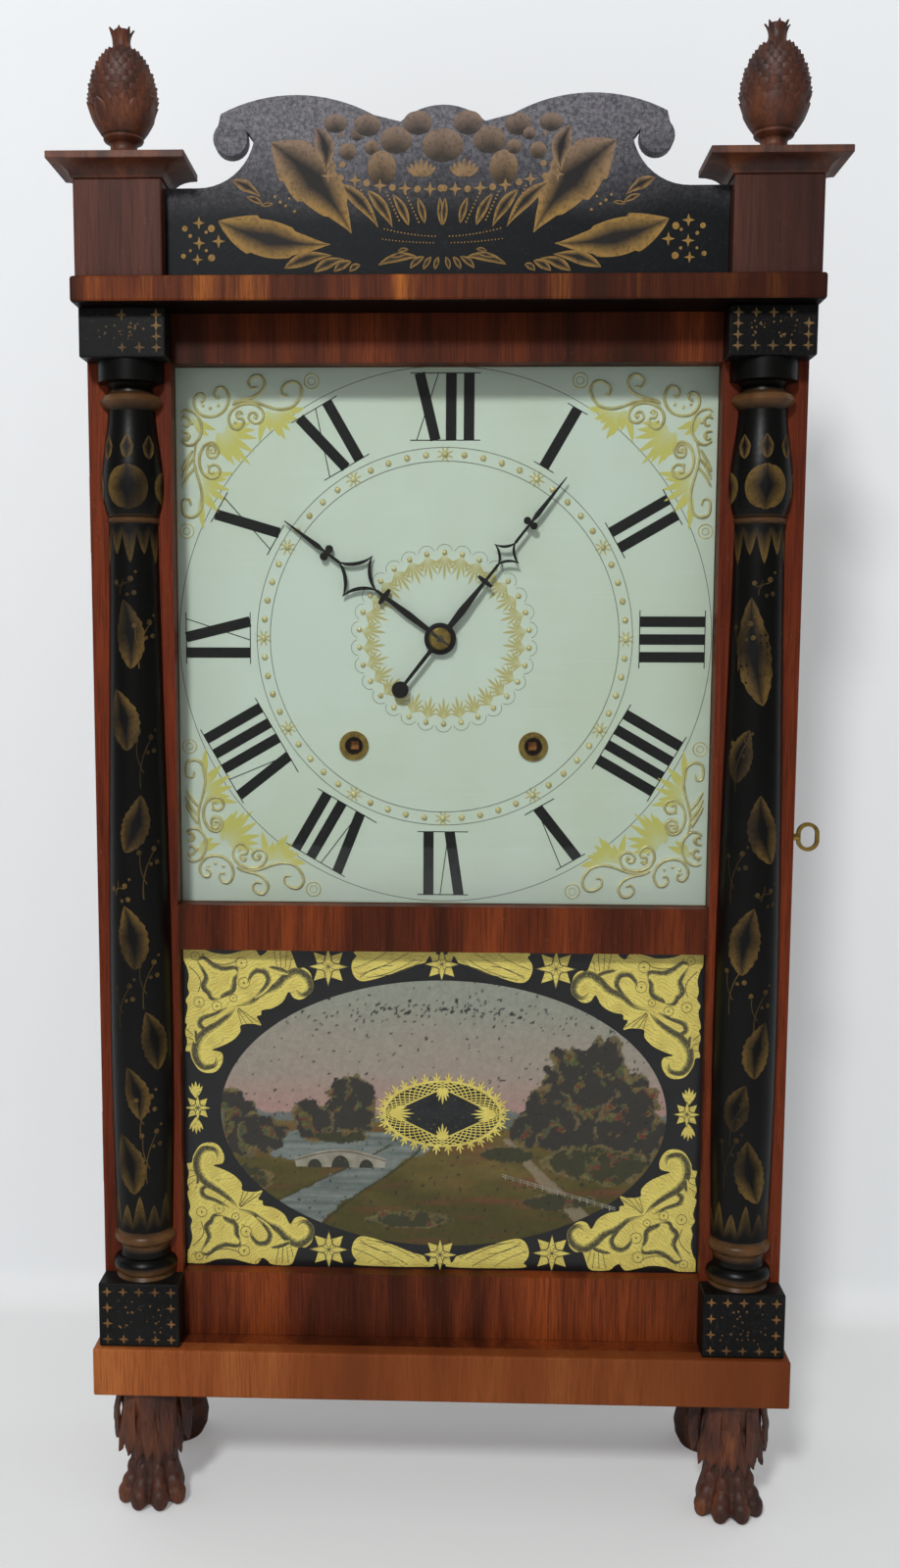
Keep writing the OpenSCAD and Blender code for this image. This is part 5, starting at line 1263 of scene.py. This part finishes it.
# The gilded border, in mm. Its corner is given as distances from the corner along the top and down the
# side: the gold's edge, dark shading as paths with a half width, engraved lines, and dots with a radius.
# Its wing is given as distances from the middle and from the edge: outline, and engraved lines as both
# ends and bow.
borderLook = {
    "half": (158.6, 101.1),
    "edge": [(0.5, 0.8), (11, 0.8), (19, 3.5), (28, 4.2), (35.5, 2.4), (43, 0.8), (45.5, 2.2), (47.5, 5),
             (50.5, 3.6), (54, 0.8), (65, 0.8), (68, 6), (70.5, 12.4), (74.5, 12.2), (78.5, 15.8), (79.4, 22),
             (77, 28.8), (72.5, 32), (68, 31), (65, 27.2), (61.5, 33.4), (55, 37.6), (48.5, 39), (48, 42),
             (45.2, 43), (48, 48.5), (43, 47.5), (35.4, 48.5), (35, 53), (30, 58.4), (22.5, 62.2),
             (17.4, 64.4), (23.4, 66), (24, 71.5), (20.4, 77.5), (14.8, 79), (9.2, 77), (5, 70.4), (4, 66),
             (1, 65), (2.2, 59.5), (1, 53), (2.2, 48.5), (1, 46.4), (2.8, 37.6), (1.6, 33.2), (3.8, 29),
             (2.8, 24.5), (3.8, 18), (2.2, 11.4), (0.6, 8)],
    "shade": [([(9, 8.5), (13, 7.4), (19, 12), (25, 14), (32, 13.2), (33.8, 16)], 1.0),
              ([(33.8, 16), (31, 20), (30, 26), (24.5, 29.4), (22.8, 32)], 1.1),
              ([(22.8, 32), (18, 31.5), (16.4, 28), (13.6, 24.5), (15.2, 19), (13.6, 15), (9, 8.5)], 1.1),
              ([(33, 36.5), (42, 34.5), (50, 28.5), (58, 24.5), (64, 18.6), (70, 15.6), (76, 19), (77.4, 25),
                (73.4, 28.5), (69.6, 26)], 1.5),
              ([(44, 31), (50, 26), (53.4, 20), (51, 14.4), (45, 13.6), (41, 17.6), (40, 22)], 1.1),
              ([(20, 69), (18.5, 73.4), (12, 74), (8.4, 68), (9, 60.4), (13.6, 54), (21, 49), (28.4, 43),
                (32, 38)], 1.5),
              ([(27, 37.5), (19, 41), (11, 44), (9.4, 49), (14.5, 52), (20, 49)], 1.0),
              ([(53, 12), (60, 14), (65, 16)], 0.8), ([(7, 52), (7.6, 60)], 0.7)],
    "lines": [[(58, 12), (56, 2)], [(60.5, 12), (60, 2)], [(63, 12.4), (64, 2)], [(65.4, 13), (67, 6)],
              [(34, 37.6), (47, 47)], [(34, 38), (43, 47)], [(33.6, 38.6), (39, 47.6)],
              [(33.4, 39), (36, 48)], [(6, 58), (1.4, 56)], [(5.6, 61), (1.4, 61)], [(6, 55), (1.6, 51)],
              [(12, 4), (16, 8), (23, 10.6), (31, 9.4), (35, 6)], [(4, 12), (9, 17), (11, 22), (9.4, 28)]],
    "dots": [(8, 5.6, 1.1), (36.2, 9.6, 1.5), (37.6, 22, 1.5), (9.9, 34.2, 1.4), (20.8, 36.6, 1.3),
             (31, 31.6, 1.0)],
    "wingBase": 101,
    "wing": [(10, 8), (20, 11), (30, 15), (42, 19), (49, 20), (53, 17.5), (55, 12.5), (54.5, 8), (52, 4.5),
             (50, 1.2), (6, 1.0), (8, 4.5)],
    "wingLines": [(50, 16, 20, 2, 1), (46, 18, 16, 6, 2), (40, 17, 12, 7, 2), (54, 12, 34, 2, 1),
                  (50, 18, 30, 10, -2)],
    # Stars over and under the picture as place and size, then the ones beside it as distance and size
    "stars": [(-69.3, 89.8, 12.2), (0.0, 92, 10.6), (69.3, 89.8, 12.2)], "sideStar": (150.4, 8.3)}


def closedPath(points, steps):
    return [through(points + points[:1])(i / steps) for i in range(steps)]


def makeCornerScroll(gold, dark, soft, place, look):
    raised = above(place, 0.26)
    flat(gold, closedPath(look["edge"], 160), place)
    for points, w in look["shade"]:
        strip(soft, through(points), lambda t: 2.3 * w * (0.35 + 0.65 * math.sin(math.pi * t)), above(place),
              8 * len(points), 1)
        strip(dark, through(points), 0.2, raised, 8 * len(points), 1)
    for points in look["lines"]:
        strip(dark, through(points), 0.16 if len(points) == 2 else 0.2, raised, 3 * len(points), 1)
    for a, b, r in look["dots"]:
        disc(dark, raised, (a, b), r * 0.4, 8)
        strip(dark, ring((a, b), r * 2.3), 0.13, raised, 20, 1)


def makeBorder(middle, look):
    mx, mz = middle
    gold, dark, soft = bmesh.new(), bmesh.new(), bmesh.new()
    for sx in (-1, 1):
        for sz in (-1, 1):
            def place(a, b, h=0.0, sx=sx, sz=sz):
                return overTablet(mx + sx * (look["half"][0] - a), mz + sz * (look["half"][1] - b), h)
            makeCornerScroll(gold, dark, soft, place, look)
    for sz in (-1, 1):
        for x, z, size in look["stars"]:
            compass(gold, dark, (mx + x, mz + sz * z), size)
        for sx in (-1, 1):
            def wingSpot(a, b, sx=sx, sz=sz):
                return (mx + sx * a, mz + sz * (look["wingBase"] - b))
            flat(gold, [wingSpot(a, b) for a, b in closedPath(look["wing"], 60)], overTablet)
            for a0, b0, a1, b1, sag in look["wingLines"]:
                line = bowed(wingSpot(a0, b0), wingSpot(a1, b1), sag * sx * sz)
                strip(dark, line, 0.17, above(overTablet), 12, 1)
    for sx in (-1, 1):
        x, size = look["sideStar"]
        compass(gold, dark, (mx + sx * x, mz), size)
        for sz in (-1, 1):
            for k in range(-2, 3):
                drop(gold, overTablet, (mx + sx * (x + 1.1), mz + sz * 6), 90 * sz + 14 * k, 11 - abs(k), 1.3,
                     4, 1)
    laid(gold, "tablet_gilding", "door", leafGold("tablet_gold", "#e6d670", "#d2bf62", 0.5), "painted_glass")
    laid(soft, "tablet_scrolls", "door", scrollShade("scroll_shade", "#e4d46e", "#34342f"), "painted_glass",
         0.26)
    laid(dark, "tablet_shading", "door", leafGold("tablet_shade", "#4c4a3e", "#6a6344"), "painted_glass")


def makeWreath(look):
    cx, cz = look["wreath"]
    (a1, b1), (a0, b0) = look["wreathOut"], look["wreathIn"]
    gold, dark, up = bmesh.new(), bmesh.new(), above(overTablet)

    def ringSpot(turn, share):
        # The window is nearly a lozenge, the outline an oval
        c, s = math.cos(math.radians(turn)), math.sin(math.radians(turn))
        lozenge = (1 - share) * (1.12 / (abs(c) + abs(s)) - 1) + 1
        return (cx + (a0 + (a1 - a0) * share) * c * lozenge, cz + (b0 + (b1 - b0) * share) * s * lozenge)
    # Painted shade: a dark sheet fills the window, where clear glass would show the shaded inside of the case
    flat(dark, [ringSpot(5 * i, 1.0) for i in range(72)], overTablet)
    for share, half in ((1.0, 0.55), (0.0, 0.35), (0.93, 0.25)):
        strip(gold, lambda t: ringSpot(360 * t, share), half, up, 96, 1)
    # A lattice of two sets of slanting wires
    for i in range(44):
        for way in (-1, 1):
            strip(gold, lambda t: ringSpot(360 * i / 44 + way * 26 * t, t), 0.27, up, 6, 1)
    # Scallops with three leaves each round the outside
    for i in range(32):
        turn = 360 * (i + 0.5) / 32
        base = ringSpot(turn, 1.0)
        out = math.degrees(math.atan2(math.sin(math.radians(turn)) * a1, math.cos(math.radians(turn)) * b1))
        strip(gold, coil(base, 1.5, 1.5, out - 100, out + 100), 0.25, up, 8, 1)
        for k in (-1, 0, 1):
            drop(gold, up, base, out + 34 * k, 4.2 if k else 6.0, 0.75, 4, 1)
    # A palmette into the window from each side
    for turn, length, spread in ((0, 16, 10), (180, 16, 10), (90, 11, 16), (270, 11, 16)):
        for k in range(-3, 4):
            drop(gold, up, ringSpot(turn, 0.1), turn + 180 + spread * k, length - 1.9 * abs(k), 0.95, 5, 1)
    laid(dark, "tablet_window_shade", "door", leafGold("window_painted_shade", "#26282a", "#1b1d1f"), "painted_glass")
    laid(gold, "tablet_wreath", "door", leafGold("wreath_gold", "#e6d670", "#cfbb5c"), "painted_glass")


# The bridge: its left end, length and foot, and its arches as place, half width and height; then how many
# posts the fence has, where it starts and how far they stand apart
bridgeLook = {"left": -90, "length": 56, "foot": 212.5,
              "arches": [(-78, 4.4, 5.2), (-62, 5.6, 7.6), (-46, 4.4, 5.2)],
              "posts": 15, "fence": 40, "gap": 4.6, "bars": (1.6, 2.9)}


def makeBridge(look):
    # A stone footbridge with three arches, where the stream leaves the lake, and a fence on the meadow
    stone, dark = bmesh.new(), bmesh.new()
    foot = look["foot"]

    def topSpot(t):
        x = look["left"] + look["length"] * t
        return (x, 219.5 + 4.5 * math.cos((x + 62) / 15))
    strip(stone, lambda t: (topSpot(t)[0], (topSpot(t)[1] + foot) / 2),
          lambda t: max(0.5, (topSpot(t)[1] - foot) / 2), overTablet, 30, 1)
    for x, w, h in look["arches"]:
        arch = [math.pi * i / 12 for i in range(13)]
        flat(dark, [(x + w * math.cos(a), foot - 0.1 + h * math.sin(a)) for a in arch], above(overTablet))
    strip(dark, lambda t: (topSpot(t)[0], topSpot(t)[1] - 1.4), 0.15, above(overTablet), 30, 1)
    for i in range(look["posts"]):
        x, z = look["fence"] + look["gap"] * i, 206 - 1.35 * i
        strip(stone, straight((x, z), (x, z + 3.4)), 0.3, overTablet, 1, 1)
    for lift in look["bars"]:
        strip(stone, straight((38, 206.6 + lift), (108, 186.2 + lift)), 0.22, overTablet, 8, 1)
    laid(stone, "tablet_bridge", "door", leafGold("bridge_paint", "#a29d8e", "#77725f"), "painted_glass")
    laid(dark, "tablet_arches", "door", leafGold("arch_paint", "#2f302c", "#3d3c33"), "painted_glass")


makePicture(tabletLook)
makeBridge(bridgeLook)
makeBorder(tabletLook["middle"], borderLook)
makeWreath(tabletLook)
print("tablet painted")


# Backdrop, world and lamp: metres, degrees, watts and light levels
setting = {"wallDepth": 0.24, "reach": 3.0, "top": 2.6, "sweep": 0.03, "wall": "#e4e7ea", "floor": "#dcdddd",
           "worldLevel": 0.36, "keyPower": 36, "keySize": 0.36, "keyDistance": 2.6, "keyTurn": -13,
           "keyRise": 36, "keyAim": 0.45, "wallLift": 0.17, "floorLift": 0.2, "glossLevel": 0.15}


def makeBackdrop(look):
    # A floor that sweeps up into a wall
    bm = bmesh.new()
    reach, depth = look["reach"], look["wallDepth"]
    corners = [bm.verts.new(c) for c in ((-reach, -reach, 0), (reach, -reach, 0), (reach, depth, 0),
                                         (-reach, depth, 0))]
    bm.faces.new(corners)
    back = bm.edges.get((corners[2], corners[3]))
    risen = bmesh.ops.extrude_edge_only(bm, edges=[back])["geom"]
    bmesh.ops.translate(bm, vec=(0, 0, look["top"]),
                        verts=[v for v in risen if isinstance(v, bmesh.types.BMVert)])
    bmesh.ops.bevel(bm, geom=[back], offset=look["sweep"], affect="EDGES", segments=10, profile=0.5,
                    material=-1)
    bmesh.ops.recalc_face_normals(bm, faces=bm.faces)
    bmesh.ops.reverse_faces(bm, faces=bm.faces)
    backdrop = linked("backdrop", bm)
    backdrop.data.shade_smooth()
    f = Finish("backdrop", Roughness=0.9, Emission_Color=(1, 1, 1, 1))
    height = f.split()[2]
    f.paint(f.ramp(height, (0.0, 0.0), (0.02, 1.0)), look["floor"], look["wall"])
    # The camera alone sees the backdrop a little lighter, so that the clock gets no more light
    seen = f.add("ShaderNodeLightPath").outputs["Is Camera Ray"]
    onFloor = f.ramp(height, (0.0, 1.0), (0.02, 0.0))
    level = f.sum("ADD", look["wallLift"], f.sum("MULTIPLY", onFloor, look["floorLift"] - look["wallLift"]))
    f.link("Emission Strength", f.sum("MULTIPLY", seen, level))
    # From behind, the camera looks through the wall at the clock's back
    f.orClear(f.sum("MULTIPLY", f.add("ShaderNodeNewGeometry").outputs["Backfacing"], seen))
    backdrop.data.materials.append(f.material)


def makeWorld(look):
    world = bpy.data.worlds.new("world")
    bpy.context.scene.world = world
    world.use_nodes = True
    tree = world.node_tree
    sky = tree.nodes["Background"]
    sky.inputs[0].default_value = (1, 1, 1, 1)
    # The room in front of the clock is dimmer in its varnish than the light that fills it
    ray, dim = tree.nodes.new("ShaderNodeLightPath"), tree.nodes.new("ShaderNodeMapRange")
    dim.inputs["To Min"].default_value = look["worldLevel"]
    dim.inputs["To Max"].default_value = look["glossLevel"]
    tree.links.new(ray.outputs["Is Glossy Ray"], dim.inputs["Value"])
    tree.links.new(dim.outputs[0], sky.inputs[1])


def makeLamp(look):
    turn, rise = math.radians(look["keyTurn"]), math.radians(look["keyRise"])
    toLamp = Vector((math.sin(turn) * math.cos(rise), -math.cos(turn) * math.cos(rise), math.sin(rise)))
    lamp = bpy.data.lights.new("keyLight", "AREA")
    lamp.shape, lamp.size, lamp.energy = "DISK", look["keySize"], look["keyPower"]
    holder = bpy.data.objects.new("keyLight", lamp)
    holder.location = Vector((0, 0, look["keyAim"])) + toLamp * look["keyDistance"]
    holder.rotation_euler = toLamp.to_track_quat("Z", "Y").to_euler()
    bpy.context.scene.collection.objects.link(holder)


for makePart in (makeBackdrop, makeWorld, makeLamp):
    makePart(setting)
print("setting made")
